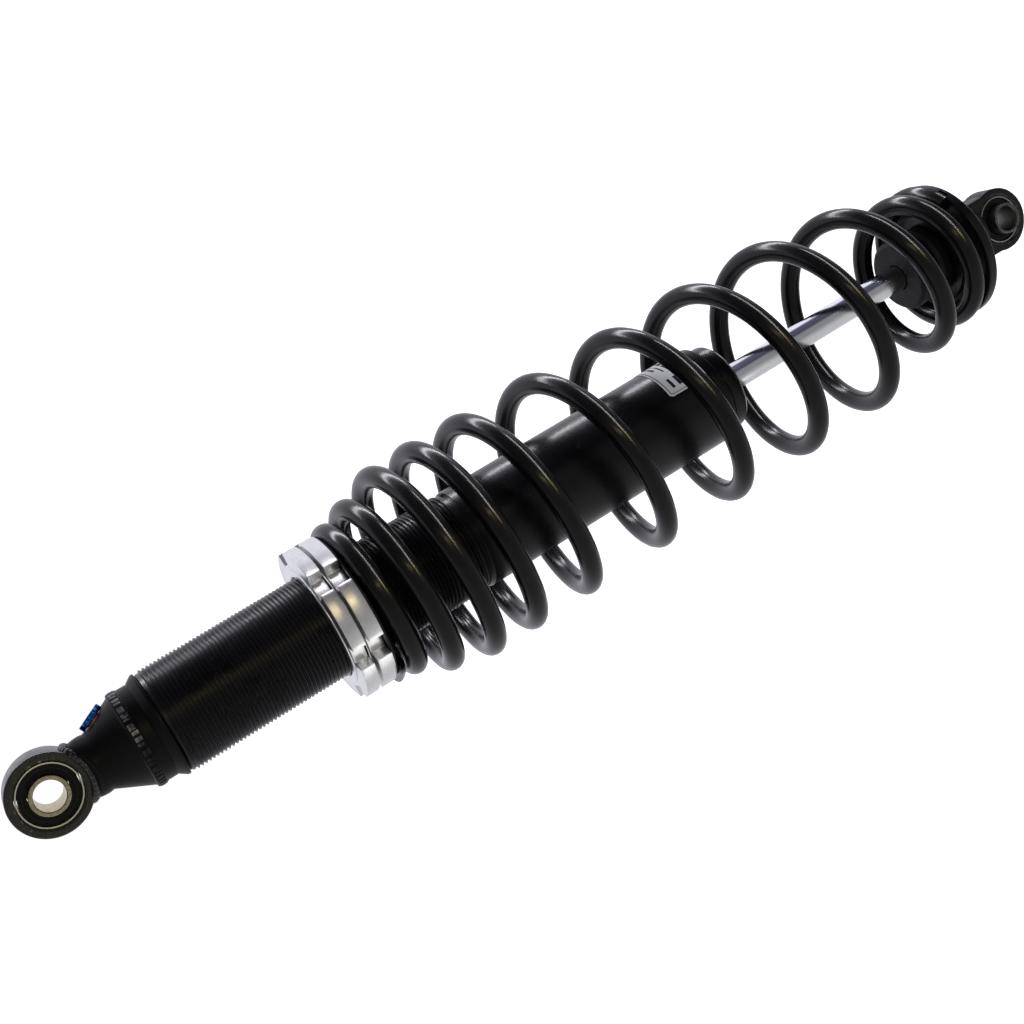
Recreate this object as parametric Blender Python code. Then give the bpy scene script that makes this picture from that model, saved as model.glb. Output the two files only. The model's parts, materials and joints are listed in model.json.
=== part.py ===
"""Coil-over gas damper with a threaded body, a preload collar and a lock ring.

The damper hangs along Z below its upper eye. The origin is the centre of the upper
eye's bore, both eye bores lie along Y, and every height is a negative Z in metres.
"""

from math import asin, atan2, cos, pi, radians, sin

import bmesh
import bpy
from mathutils import Matrix, Vector

# ---------------------------------------------------------------- driving dimensions
GAP = 0.0003
EYE_TO_EYE = 0.5805
SEGMENTS_LARGE = 40
SEGMENTS_SMALL = 24

# upper eye and end cap
UPPER_RING_R = 0.0192
UPPER_RING_WIDTH = 0.0140
UPPER_RING_BORE_R = 0.0150
UPPER_SHELL_WALL = 0.0008
UPPER_SLEEVE_R = 0.0091
UPPER_SLEEVE_BORE_R = 0.0071
UPPER_SLEEVE_LENGTH = 0.0160
CAP_NECK_R = 0.0142
CAP_WELD_R = 0.0150
CAP_BAND_R = 0.0237
CAP_COLLAR_R = 0.0234
Z_CAP_WELD_END = -0.0215
Z_CAP_NECK = -0.0236
Z_CAP_BAND_TOP = -0.0405
Z_CAP_BAND_END = -0.0459
Z_CAP_COLLAR_END = -0.0506
Z_CAP_FLARE_END = -0.0553
Z_CAP_SPIGOT_END = -0.0720
CAP_HOLLOW_R = 0.0120
Z_CAP_HOLLOW_TOP = -0.0440

# body tube
TUBE_R = 0.0260
TUBE_BORE_R = 0.0230
Z_TUBE_TOP = -0.0561
Z_TUBE_END = -0.3720
PLAY = 0.0003
BORE_FIT_R = TUBE_BORE_R - PLAY

# seals, in the tube's bore and in the end cap
O_RING_WIRE_R = 0.00080
O_RING_R = 0.02180
O_RING_GROOVE_R = 0.02060
O_RING_GROOVE_WIDTH = 0.0026

# adjuster on the cone of the end cap
ADJUSTER_AZIMUTH = radians(12.0)
Z_ADJUSTER = -0.0312
KNOB_R = 0.0066
KNOB_THICKNESS = 0.0029
KNOB_SCALLOPS = 6
KNOB_SCALLOP_DEPTH = 0.0012
POCKET_R = 0.0072
POCKET_DEPTH = 0.0028
NEEDLE_R = 0.0016
NEEDLE_BORE_R = 0.0020
NEEDLE_LENGTH = 0.0110
PLUG_AZIMUTH = radians(115.0)
PLUG_R = 0.0030
Z_PLUG = -0.0482

# seal head
HEAD_CAP_R = 0.0230
HEAD_CAP_FACE_R = 0.0212
Z_HEAD_CAP_TOP = -0.3723
Z_HEAD_CAP_EDGE = -0.3802
Z_HEAD_CAP_END = -0.3824
WIPER_R = 0.0112
ROD_HOLE_R = 0.0076
Z_HEAD_TOP = -0.3420
Z_HEAD_END = -0.3720
GUIDE_R = 0.0089
Z_GUIDE_END = -0.3600
SEAL_R = 0.0123
CIRCLIP_INNER_R = 0.0195
Z_CIRCLIP_TOP = -0.3393
Z_CIRCLIP_END = -0.3417
CIRCLIP_OPENING = 0.0110

# floating piston, at rest
Z_FLOAT_TOP = -0.1120
Z_FLOAT_END = -0.1300
FLOAT_CUP_R = 0.0170
FLOAT_CUP_DEPTH = 0.0120

# rod and piston, fully extended
ROD_R = 0.0070
STUD_R = 0.0050
TAIL_R = 0.0060
Z_STUD_TOP = -0.2960
Z_ROD_TOP = -0.3290
Z_ROD_END = -0.5362
Z_TAIL_END = -0.5600
PISTON_R = 0.0222
PISTON_HEIGHT = 0.0150
Z_PISTON_TOP = -0.3087
BAND_HEIGHT = 0.0080
BAND_FLOOR_R = 0.0211
PORT_COUNT = 6
PORT_R = 0.0022
PORT_CIRCLE_R = 0.0125
SHIM_THICKNESS = 0.0006
SHIM_RADII = (0.0190, 0.0170, 0.0150)
NUT_ACROSS_FLATS = 0.0160
NUT_HEIGHT = 0.0070
BUMPER_R = 0.0110
Z_BUMPER_END = -0.3389
PLATE_R = 0.0140
PLATE_HEIGHT = 0.0020

# preload rings on the thread
RING_R = 0.0392
RING_NOTCH_R = 0.0328
RING_BORE_R = TUBE_R + PLAY
RING_LUGS = 6
RING_LUG_ANGLE = radians(44.0)
RING_LUG_AZIMUTH = radians(-80.0)
Z_LOCK_TOP = -0.1397
Z_LOCK_END = -0.1472
Z_COLLAR_TOP = -0.1483
Z_COLLAR_END = -0.1565
SEAT_R = 0.0375
Z_SEAT_TOP = -0.1568
Z_SEAT_END = -0.1580

# coil spring: close wound at the top, open below, with a barrel shape and two narrow closed ends
WIRE_R = 0.0054
WIRE_SIDES = 8
SPRING_STEPS_PER_TURN = 22
SPRING_AZIMUTH = radians(13.3)
SPRING_FIRST_TURN = 0.42
SPRING_LAST_TURN = 12.15
SPRING_FIRST_DEPTH = 0.1566
SPRING_PITCH = (
    (0.42, 0.0104), (1.0, 0.0112), (2.0, 0.0160), (3.0, 0.0210), (4.5, 0.0260), (6.0, 0.0482),
    (10.3, 0.0500), (11.2, 0.0150), (12.15, 0.0075),
)
SPRING_TOP_R = 0.0363
SPRING_BARREL_R = 0.0500
SPRING_END_R = 0.0350
SPRING_WIDENS = (1.0, 3.4)
SPRING_NARROWS = (9.4, 11.2)
SPRING_LEAN = ((0.42, -0.0009), (4.5, -0.0003), (8.5, 0.0029), (10.0, 0.0018), (12.15, 0.0009))
Z_SPRING_TOP = -0.1583
Z_SPRING_END = -0.5376

# spring retainer, bump stop and lower eye
RETAINER_R = 0.0386
RETAINER_PILOT_R = 0.0285
RETAINER_HUB_R = 0.0255
RETAINER_RECESS_R = 0.0182
RETAINER_BORE_R = 0.0123
RETAINER_BACK_R = 0.0220
Z_RETAINER_HUB = -0.5310
Z_RETAINER_STEP = -0.5335
Z_RETAINER_SEAT = -0.5379
Z_RETAINER_RIM = -0.5434
Z_RETAINER_FLOOR = -0.5365
Z_RETAINER_END = -0.5480
RETAINER_NOTCH_WIDTH = 0.0064
RETAINER_NOTCH_R = 0.0330
Z_RETAINER_NOTCH = -0.5412
RETAINER_NOTCH_AZIMUTH = radians(-33.0)
STOP_BASE_R = 0.0175
STOP_R = 0.0196
Z_STOP_TOP = -0.5084
Z_STOP_END = -0.5345
Z_WASHER_TOP = -0.5348
Z_WASHER_END = -0.5361
MOUNT_PILOT_R = 0.0120
MOUNT_NECK_R = 0.0165
Z_MOUNT_TOP = -0.5366
Z_MOUNT_SHOULDER = -0.5484
Z_MOUNT_NECK_END = -0.5620
LOWER_RING_R = 0.0174
LOWER_RING_WIDTH = 0.0150
LOWER_RING_BORE_R = 0.0131
LOWER_SHELL_WALL = 0.0008
LOWER_SLEEVE_R = 0.0083
LOWER_SLEEVE_BORE_R = 0.0065
LOWER_SLEEVE_LENGTH = 0.0260

# label on the tube
LABEL_FROM = radians(-60.0)
LABEL_TO = radians(25.0)
LABEL_HEIGHT = 0.0240
Z_LABEL_TOP = -0.3425
LABEL_THICKNESS = 0.0004

# colours
BLACK = (0.012, 0.012, 0.013)
SPRING_BLACK = (0.014, 0.014, 0.016)
RUBBER_BLACK = (0.020, 0.020, 0.020)
SILVER = (0.78, 0.78, 0.76)
ZINC = (0.66, 0.60, 0.40)
CHROME = (0.80, 0.82, 0.84)
STEEL = (0.45, 0.45, 0.46)
BLUE = (0.02, 0.16, 0.42)
ORANGE = (0.75, 0.16, 0.04)
BRONZE = (0.50, 0.32, 0.14)
FOIL = (0.62, 0.63, 0.64)


# ---------------------------------------------------------------- general helpers
def clear_scene():
    for obj in list(bpy.data.objects):
        bpy.data.objects.remove(obj, do_unlink=True)


def material(name, color, metallic, roughness):
    mat = bpy.data.materials.new(name)
    mat.use_nodes = True
    shader = mat.node_tree.nodes["Principled BSDF"]
    shader.inputs["Base Color"].default_value = (*color, 1.0)
    shader.inputs["Metallic"].default_value = metallic
    shader.inputs["Roughness"].default_value = roughness
    return mat


def add_object(name, bm, look, location=(0.0, 0.0, 0.0)):
    """Closes up the mesh of bm, whose points are in world space, as a smooth-shaded object."""
    bmesh.ops.remove_doubles(bm, verts=bm.verts[:], dist=1e-7)
    bmesh.ops.recalc_face_normals(bm, faces=bm.faces[:])
    place = Vector(location)
    bmesh.ops.translate(bm, verts=bm.verts[:], vec=-place)
    mesh = bpy.data.meshes.new(name)
    bm.to_mesh(mesh)
    bm.free()
    mesh.shade_smooth()
    mesh.set_sharp_from_angle(angle=radians(35.0))
    mesh.materials.append(material(name, *look))
    obj = bpy.data.objects.new(name, mesh)
    obj.location = place
    bpy.context.scene.collection.objects.link(obj)
    return obj


def revolve(bm, profile, segments, frame=Matrix.Identity(4)):
    """Turns a closed outline of (radius, height) points about the frame's Z axis."""
    rings = []
    for radius, height in profile:
        if radius < 1e-9:
            rings.append([bm.verts.new(frame @ Vector((0.0, 0.0, height)))] * segments)
            continue
        ring = []
        for k in range(segments):
            angle = 2.0 * pi * k / segments
            point = Vector((radius * cos(angle), radius * sin(angle), height))
            ring.append(bm.verts.new(frame @ point))
        rings.append(ring)
    for lower, upper in zip(rings, rings[1:] + rings[:1]):
        for k in range(segments):
            n = (k + 1) % segments
            corners = []
            for vert in (lower[k], lower[n], upper[n], upper[k]):
                if vert not in corners:
                    corners.append(vert)
            if len(corners) > 2:
                bm.faces.new(corners)


def turned(name, profile, look, segments=SEGMENTS_LARGE, frame=Matrix.Identity(4), origin=(0, 0, 0)):
    bm = bmesh.new()
    revolve(bm, profile, segments, frame)
    return add_object(name, bm, look, origin)


def washer(name, outer_r, inner_r, z_top, z_end, look, segments=SEGMENTS_SMALL):
    profile = [(inner_r, z_end), (outer_r, z_end), (outer_r, z_top), (inner_r, z_top)]
    return turned(name, profile, look, segments, origin=(0.0, 0.0, z_top))


def cross_frame(center):
    """A frame whose Z axis points along world -Y, for the eyes and their bushes."""
    turn = Matrix.Rotation(radians(90.0), 4, "X")
    return Matrix.Translation(center) @ turn


def sleeve(name, center, outer_r, inner_r, length, look, segments=SEGMENTS_SMALL, chamfer=0.0):
    half = length / 2.0
    profile = [(outer_r, -half), (outer_r, half)]
    profile += [(inner_r + chamfer, half), (inner_r, half - chamfer)] if chamfer else [(inner_r, half)]
    profile += [(inner_r, chamfer - half), (inner_r + chamfer, -half)] if chamfer else [(inner_r, -half)]
    return turned(name, profile, look, segments, cross_frame(center), center)


def o_ring(name, ring_r, wire_r, z, look):
    sides = 8
    profile = []
    for k in range(sides):
        angle = 2.0 * pi * k / sides
        profile.append((ring_r + wire_r * cos(angle), z + wire_r * sin(angle)))
    return turned(name, profile, look, SEGMENTS_SMALL, origin=(0.0, 0.0, z))


def cutter(name, bm):
    obj = add_object(name, bm, (BLACK, 0.0, 0.5))
    obj.hide_render = True
    obj.display_type = "WIRE"
    return obj


def boolean(obj, tool, operation="DIFFERENCE"):
    mod = obj.modifiers.new(operation.title(), "BOOLEAN")
    mod.operation = operation
    mod.object = tool
    mod.solver = "EXACT"


def solid_cylinder(radius, low, high, segments, frame=Matrix.Identity(4)):
    bm = bmesh.new()
    profile = [(0.0, low), (radius, low), (radius, high), (0.0, high)]
    revolve_open(bm, profile, segments, frame)
    return bm


def revolve_open(bm, profile, segments, frame=Matrix.Identity(4)):
    """Turns an outline that starts and ends on the axis into a solid."""
    rings = []
    for radius, height in profile:
        if radius < 1e-9:
            rings.append([bm.verts.new(frame @ Vector((0.0, 0.0, height)))])
            continue
        ring = []
        for k in range(segments):
            angle = 2.0 * pi * k / segments
            point = Vector((radius * cos(angle), radius * sin(angle), height))
            ring.append(bm.verts.new(frame @ point))
        rings.append(ring)
    for lower, upper in zip(rings, rings[1:]):
        for k in range(segments):
            n = (k + 1) % segments
            if len(lower) == 1:
                bm.faces.new((lower[0], upper[n], upper[k]))
            elif len(upper) == 1:
                bm.faces.new((lower[k], lower[n], upper[0]))
            else:
                bm.faces.new((lower[k], lower[n], upper[n], upper[k]))


def turned_solid(name, profile, look, segments=SEGMENTS_LARGE, origin=(0, 0, 0)):
    bm = bmesh.new()
    revolve_open(bm, profile, segments)
    return add_object(name, bm, look, origin)


def prism(outline, z_low, z_high, hole=None, frame=Matrix.Identity(4)):
    """Extrudes an outline of (x, y) points, with an optional hole of the same count."""
    bm = bmesh.new()

    def loop(points, z):
        return [bm.verts.new(frame @ Vector((x, y, z))) for x, y in points]

    low = loop(outline, z_low)
    high = loop(outline, z_high)
    count = len(outline)
    for k in range(count):
        n = (k + 1) % count
        bm.faces.new((low[k], low[n], high[n], high[k]))
    if hole is None:
        bm.faces.new(low[::-1])
        bm.faces.new(high)
        return bm
    inner_low = loop(hole, z_low)
    inner_high = loop(hole, z_high)
    for k in range(count):
        n = (k + 1) % count
        bm.faces.new((inner_low[n], inner_low[k], inner_high[k], inner_high[n]))
        bm.faces.new((low[n], low[k], inner_low[k], inner_low[n]))
        bm.faces.new((high[k], high[n], inner_high[n], inner_high[k]))
    return bm


# ---------------------------------------------------------------- looks
PAINTED = (BLACK, 0.0, 0.35)
ANODISED = (BLACK, 0.3, 0.40)
RUBBER = (RUBBER_BLACK, 0.0, 0.75)
MACHINED = (SILVER, 1.0, 0.28)
PLATED = (ZINC, 1.0, 0.32)
BARE_STEEL = (STEEL, 1.0, 0.35)


# ---------------------------------------------------------------- eyes and bushes
def make_bush(prefix, center, ring_bore_r, shell_wall, sleeve_r, sleeve_bore_r, width, length, chamfer):
    shell_r = ring_bore_r - GAP
    shell_inner_r = shell_r - shell_wall
    rubber_r = shell_inner_r - GAP
    sleeve(f"{prefix}_bush_shell", center, shell_r, shell_inner_r, width - 0.0010, PLATED, 32)
    sleeve(f"{prefix}_bush_rubber", center, rubber_r, sleeve_r + GAP, width - 0.0020, RUBBER)
    sleeve(f"{prefix}_bush_sleeve", center, sleeve_r, sleeve_bore_r, length, PLATED, 24, chamfer)


def make_upper_eye():
    center = (0.0, 0.0, 0.0)
    half = UPPER_RING_WIDTH / 2.0
    edge = 0.0007
    profile = [
        (UPPER_RING_R, edge - half),
        (UPPER_RING_R, half - edge),
        (UPPER_RING_R - edge, half),
        (UPPER_RING_BORE_R, half),
        (UPPER_RING_BORE_R, -half),
        (UPPER_RING_R - edge, -half),
    ]
    turned("upper_eye_ring", profile, PAINTED, SEGMENTS_LARGE, cross_frame(center))
    make_bush(
        "upper", center, UPPER_RING_BORE_R, UPPER_SHELL_WALL, UPPER_SLEEVE_R,
        UPPER_SLEEVE_BORE_R, UPPER_RING_WIDTH, UPPER_SLEEVE_LENGTH, 0.0003,
    )


def adjuster_frame():
    """The adjuster's frame: its Z axis leaves the cone of the end cap at right angles."""
    rise = Z_CAP_NECK - Z_CAP_BAND_TOP
    growth = CAP_BAND_R - 0.0012 - CAP_NECK_R
    slope = atan2(growth, rise)
    along = (Z_CAP_NECK - Z_ADJUSTER) / rise
    radius = CAP_NECK_R + growth * along
    spin = Matrix.Rotation(ADJUSTER_AZIMUTH, 4, "Z")
    tilt = Matrix.Rotation(radians(90.0) - slope, 4, "Y")
    place = Matrix.Translation((radius, 0.0, Z_ADJUSTER))
    return spin @ place @ tilt


def make_end_cap():
    cone_end_r = CAP_BAND_R - 0.0012
    profile = [
        (0.0, Z_CAP_HOLLOW_TOP),
        (CAP_HOLLOW_R, Z_CAP_HOLLOW_TOP),
        (CAP_HOLLOW_R, Z_CAP_SPIGOT_END),
        (BORE_FIT_R, Z_CAP_SPIGOT_END),
        (BORE_FIT_R, -0.0655),
        (O_RING_GROOVE_R, -0.0655),
        (O_RING_GROOVE_R, -0.0655 + O_RING_GROOVE_WIDTH),
        (BORE_FIT_R, -0.0655 + O_RING_GROOVE_WIDTH),
        (BORE_FIT_R, Z_TUBE_TOP),
        (TUBE_R, Z_TUBE_TOP + GAP),
        (TUBE_R, Z_CAP_FLARE_END),
        (CAP_COLLAR_R, Z_CAP_COLLAR_END),
        (CAP_COLLAR_R, Z_CAP_BAND_END),
        (CAP_BAND_R, Z_CAP_BAND_END),
        (CAP_BAND_R, Z_CAP_BAND_TOP - 0.0006),
        (cone_end_r, Z_CAP_BAND_TOP),
        (CAP_NECK_R, Z_CAP_NECK),
        (CAP_WELD_R, Z_CAP_WELD_END),
        (CAP_WELD_R, -0.0120),
        (0.0, -0.0120),
    ]
    cap = turned_solid("upper_end_cap", profile, ANODISED)
    saddle = solid_cylinder(UPPER_RING_R + GAP, -0.03, 0.03, 48, cross_frame((0.0, 0.0, 0.0)))
    boolean(cap, cutter("saddle_cutter", saddle))
    frame = adjuster_frame()
    pocket = bmesh.new()
    outline = [
        (0.0, -NEEDLE_LENGTH - 0.0040),
        (NEEDLE_BORE_R, -NEEDLE_LENGTH - 0.0040),
        (NEEDLE_BORE_R, -POCKET_DEPTH),
        (POCKET_R, -POCKET_DEPTH),
        (POCKET_R, 0.0080),
        (0.0, 0.0080),
    ]
    revolve_open(pocket, outline, SEGMENTS_SMALL, frame)
    boolean(cap, cutter("adjuster_cutter", pocket))
    plug_hole = solid_cylinder(PLUG_R + GAP, 0.0170, 0.0300, 16, plug_frame())
    boolean(cap, cutter("plug_cutter", plug_hole))
    o_ring(
        "end_cap_oring", O_RING_R, O_RING_WIRE_R, -0.0655 + O_RING_GROOVE_WIDTH / 2.0, RUBBER
    )


def plug_frame():
    spin = Matrix.Rotation(PLUG_AZIMUTH, 4, "Z")
    turn = Matrix.Rotation(radians(90.0), 4, "Y")
    return spin @ Matrix.Translation((0.0, 0.0, Z_PLUG)) @ turn


def make_gas_plug():
    """A flush plug with a six-sided socket, which closes the gas filling hole."""
    frame = plug_frame()
    socket_r = PLUG_R * 0.55
    profile = [
        (0.0, 0.0173),
        (PLUG_R, 0.0173),
        (PLUG_R, 0.0238),
        (socket_r, 0.0238),
        (socket_r, 0.0214),
        (0.0, 0.0214),
    ]
    bm = bmesh.new()
    revolve_open(bm, profile, 18, frame)
    return add_object("gas_fill_plug", bm, BARE_STEEL)


def make_adjuster():
    frame = adjuster_frame()
    place = frame.translation
    low = 0.0020 - POCKET_DEPTH
    high = low + KNOB_THICKNESS
    outline = []
    steps = KNOB_SCALLOPS * 6
    for k in range(steps):
        angle = 2.0 * pi * k / steps
        radius = KNOB_R - KNOB_SCALLOP_DEPTH * (0.5 + 0.5 * cos(KNOB_SCALLOPS * angle))
        outline.append((radius * cos(angle), radius * sin(angle)))
    knob = prism(outline, low, high, frame=frame)
    add_object("adjuster_knob", knob, (BLUE, 0.9, 0.30), place)
    needle = bmesh.new()
    tip = -NEEDLE_LENGTH
    profile = [(0.0, tip), (NEEDLE_R, tip + 0.0025), (NEEDLE_R, low - GAP), (0.0, low - GAP)]
    revolve_open(needle, profile, 16, frame)
    add_object("adjuster_needle", needle, BARE_STEEL, place)
    sides = 8
    ring_r = 0.0046
    wire_r = 0.0006
    seat = GAP + wire_r - POCKET_DEPTH
    profile = []
    for k in range(sides):
        angle = 2.0 * pi * k / sides
        profile.append((ring_r + wire_r * cos(angle), seat + wire_r * sin(angle)))
    turned("adjuster_oring", profile, (ORANGE, 0.0, 0.5), SEGMENTS_SMALL, frame, place)


# ---------------------------------------------------------------- body and seal head
def make_body_tube():
    profile = [
        (TUBE_BORE_R, Z_TUBE_END),
        (TUBE_R - 0.0006, Z_TUBE_END),
        (TUBE_R, Z_TUBE_END + 0.0006),
        (TUBE_R, Z_TUBE_TOP - 0.0004),
        (TUBE_R - 0.0004, Z_TUBE_TOP),
        (TUBE_BORE_R, Z_TUBE_TOP),
    ]
    turned("body_tube", profile, ANODISED, 48)


def make_label():
    inner = TUBE_R + GAP
    outer = inner + LABEL_THICKNESS
    steps = 14
    angles = [LABEL_FROM + (LABEL_TO - LABEL_FROM) * k / steps for k in range(steps + 1)]
    outline = [(outer * cos(a), outer * sin(a)) for a in angles]
    outline += [(inner * cos(a), inner * sin(a)) for a in reversed(angles)]
    bm = bmesh.new()
    low = [bm.verts.new((x, y, Z_LABEL_TOP - LABEL_HEIGHT)) for x, y in outline]
    high = [bm.verts.new((x, y, Z_LABEL_TOP)) for x, y in outline]
    count = len(outline)
    for k in range(count):
        n = (k + 1) % count
        bm.faces.new((low[k], low[n], high[n], high[k]))
    for k in range(steps):
        far = count - 1 - k
        bm.faces.new((low[k + 1], low[k], low[far], low[far - 1]))
        bm.faces.new((high[k], high[k + 1], high[far - 1], high[far]))
    add_object("body_label", bm, (FOIL, 0.7, 0.35))


def make_seal_head():
    face = Z_HEAD_CAP_END
    cap_profile = [
        (ROD_HOLE_R, Z_HEAD_CAP_TOP),
        (ROD_HOLE_R, -0.3760),
        (WIPER_R + GAP, -0.3760),
        (WIPER_R + GAP, face),
        (HEAD_CAP_FACE_R, face),
        (HEAD_CAP_R, Z_HEAD_CAP_EDGE),
        (HEAD_CAP_R, Z_HEAD_CAP_TOP),
    ]
    turned("seal_head_cap", cap_profile, ANODISED)
    wiper = [
        (ROD_R + GAP, -0.3763),
        (ROD_R + GAP, -0.3838),
        (ROD_R + 0.0012, -0.3840),
        (WIPER_R - 0.0014, -0.3826),
        (WIPER_R, -0.3815),
        (WIPER_R, -0.3763),
    ]
    turned("wiper_seal", wiper, RUBBER, 28)
    groove = -0.3560
    head = [
        (BORE_FIT_R, Z_HEAD_END),
        (BORE_FIT_R, groove),
        (O_RING_GROOVE_R, groove),
        (O_RING_GROOVE_R, groove + O_RING_GROOVE_WIDTH),
        (BORE_FIT_R, groove + O_RING_GROOVE_WIDTH),
        (BORE_FIT_R, Z_HEAD_TOP),
        (GUIDE_R, Z_HEAD_TOP),
        (GUIDE_R, Z_GUIDE_END),
        (SEAL_R, Z_GUIDE_END - 0.0020),
        (SEAL_R, Z_HEAD_END),
    ]
    turned("seal_head", head, (SILVER, 1.0, 0.4))
    washer("rod_guide_bush", GUIDE_R - GAP, ROD_R + GAP, Z_HEAD_TOP - 0.0002, -0.3597, (BRONZE, 0.9, 0.4))
    washer("rod_seal", SEAL_R - GAP, ROD_R + GAP, -0.3630, -0.3717, RUBBER)
    o_ring("seal_head_oring", O_RING_R, O_RING_WIRE_R, groove + O_RING_GROOVE_WIDTH / 2.0, RUBBER)
    half = asin(CIRCLIP_OPENING / 2.0 / BORE_FIT_R)
    steps = 24
    angles = [half + (2.0 * pi - 2.0 * half) * k / steps for k in range(steps + 1)]
    bm = bmesh.new()
    loops = []
    for radius, z in (
        (CIRCLIP_INNER_R, Z_CIRCLIP_END),
        (BORE_FIT_R, Z_CIRCLIP_END),
        (BORE_FIT_R, Z_CIRCLIP_TOP),
        (CIRCLIP_INNER_R, Z_CIRCLIP_TOP),
    ):
        loops.append([bm.verts.new((radius * cos(a), radius * sin(a), z)) for a in angles])
    for one, two in zip(loops, loops[1:] + loops[:1]):
        for k in range(steps):
            bm.faces.new((one[k], one[k + 1], two[k + 1], two[k]))
    for k in (0, steps):
        bm.faces.new([loop[k] for loop in loops])
    add_object("seal_head_circlip", bm, BARE_STEEL)


def make_floating_piston():
    groove = (Z_FLOAT_TOP + Z_FLOAT_END) / 2.0
    profile = [
        (0.0, Z_FLOAT_END),
        (BORE_FIT_R, Z_FLOAT_END),
        (BORE_FIT_R, groove),
        (O_RING_GROOVE_R, groove),
        (O_RING_GROOVE_R, groove + O_RING_GROOVE_WIDTH),
        (BORE_FIT_R, groove + O_RING_GROOVE_WIDTH),
        (BORE_FIT_R, Z_FLOAT_TOP),
        (FLOAT_CUP_R, Z_FLOAT_TOP),
        (FLOAT_CUP_R, Z_FLOAT_TOP - FLOAT_CUP_DEPTH),
        (0.0, Z_FLOAT_TOP - FLOAT_CUP_DEPTH),
    ]
    turned_solid("floating_piston", profile, (SILVER, 1.0, 0.4), 32, (0.0, 0.0, Z_FLOAT_END))
    o_ring("floating_piston_oring", O_RING_R, O_RING_WIRE_R, groove + O_RING_GROOVE_WIDTH / 2.0, RUBBER)


# ---------------------------------------------------------------- rod and piston stack
def make_rod():
    profile = [
        (0.0, Z_TAIL_END),
        (TAIL_R, Z_TAIL_END),
        (TAIL_R, Z_ROD_END),
        (ROD_R, Z_ROD_END),
        (ROD_R, Z_ROD_TOP),
        (STUD_R, Z_ROD_TOP),
        (STUD_R, Z_STUD_TOP),
        (0.0, Z_STUD_TOP),
    ]
    turned_solid("piston_rod", profile, (CHROME, 1.0, 0.12), 32, (0.0, 0.0, Z_ROD_END))


def make_piston_stack():
    top = Z_PISTON_TOP
    end = top - PISTON_HEIGHT
    middle = (top + end) / 2.0
    low = middle - BAND_HEIGHT / 2.0
    high = middle + BAND_HEIGHT / 2.0
    inner = STUD_R + GAP
    profile = [
        (inner, end),
        (PISTON_R, end),
        (PISTON_R, low),
        (BAND_FLOOR_R, low),
        (BAND_FLOOR_R, high),
        (PISTON_R, high),
        (PISTON_R, top),
        (inner, top),
    ]
    piston = turned("piston", profile, (SILVER, 1.0, 0.4), 32, origin=(0.0, 0.0, top))
    ports = bmesh.new()
    for k in range(PORT_COUNT):
        angle = 2.0 * pi * k / PORT_COUNT
        place = Matrix.Translation((PORT_CIRCLE_R * cos(angle), PORT_CIRCLE_R * sin(angle), middle))
        outline = [(0.0, -0.02), (PORT_R, -0.02), (PORT_R, 0.02), (0.0, 0.02)]
        revolve_open(ports, outline, 10, place)
    boolean(piston, cutter("port_cutter", ports))
    washer("piston_band", BORE_FIT_R, BAND_FLOOR_R + GAP, high - GAP, low + GAP, (BRONZE, 0.0, 0.6), 32)
    for k, radius in enumerate(SHIM_RADII):
        step = GAP + k * (SHIM_THICKNESS + GAP)
        above = top + step
        below = end - step
        washer(f"compression_shim_{k + 1}", radius, inner, above + SHIM_THICKNESS, above, BARE_STEEL)
        washer(f"rebound_shim_{k + 1}", radius, inner, below, below - SHIM_THICKNESS, BARE_STEEL)
    stack = len(SHIM_RADII) * (SHIM_THICKNESS + GAP) + GAP
    nut_low = top + stack
    corner = NUT_ACROSS_FLATS / 2.0 / cos(pi / 6.0)
    sides = 24
    outline = []
    hole = []
    for k in range(sides):
        angle = 2.0 * pi * k / sides
        in_flat = (angle % (pi / 3.0)) - pi / 6.0
        radius = corner * cos(pi / 6.0) / cos(in_flat)
        outline.append((radius * cos(angle), radius * sin(angle)))
        hole.append((inner * cos(angle), inner * sin(angle)))
    nut = prism(outline, nut_low, nut_low + NUT_HEIGHT, hole)
    add_object("piston_nut", nut, BARE_STEEL, (0.0, 0.0, nut_low))
    plate_top = end - stack
    washer("top_out_plate", PLATE_R, inner, plate_top, plate_top - PLATE_HEIGHT, BARE_STEEL)
    washer("top_out_bumper", BUMPER_R, ROD_R + GAP, Z_ROD_TOP - 0.0006, Z_BUMPER_END, RUBBER)


# ---------------------------------------------------------------- spring and its seats
def lugged_ring(name, z_top, z_end):
    """A threaded ring with square-cut notches between its lugs, for a hook spanner."""
    outer = []
    hole = []
    pitch = 2.0 * pi / RING_LUGS
    arc_steps = 5
    floor_steps = 2
    for lug in range(RING_LUGS):
        middle = RING_LUG_AZIMUTH + lug * pitch
        for k in range(arc_steps + 1):
            angle = middle + RING_LUG_ANGLE * (k / arc_steps - 0.5)
            outer.append((RING_R, angle))
        notch = pitch - RING_LUG_ANGLE
        for k in range(floor_steps + 1):
            angle = middle + RING_LUG_ANGLE / 2.0 + notch * k / floor_steps
            outer.append((RING_NOTCH_R, angle))
    count = len(outer)
    for k in range(count):
        hole.append(RING_LUG_AZIMUTH - RING_LUG_ANGLE / 2.0 + 2.0 * pi * k / count)
    outline = [(r * cos(a), r * sin(a)) for r, a in outer]
    bore = [(RING_BORE_R * cos(a), RING_BORE_R * sin(a)) for a in hole]
    ring = prism(outline, z_end, z_top, bore)
    add_object(name, ring, MACHINED, (0.0, 0.0, z_top))


def along(knots, turn):
    """The value at a turn on the straight lines between knots."""
    for (low, here), (high, there) in zip(knots, knots[1:]):
        if turn <= high:
            return here + (there - here) * (turn - low) / (high - low)
    return knots[-1][1]


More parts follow.
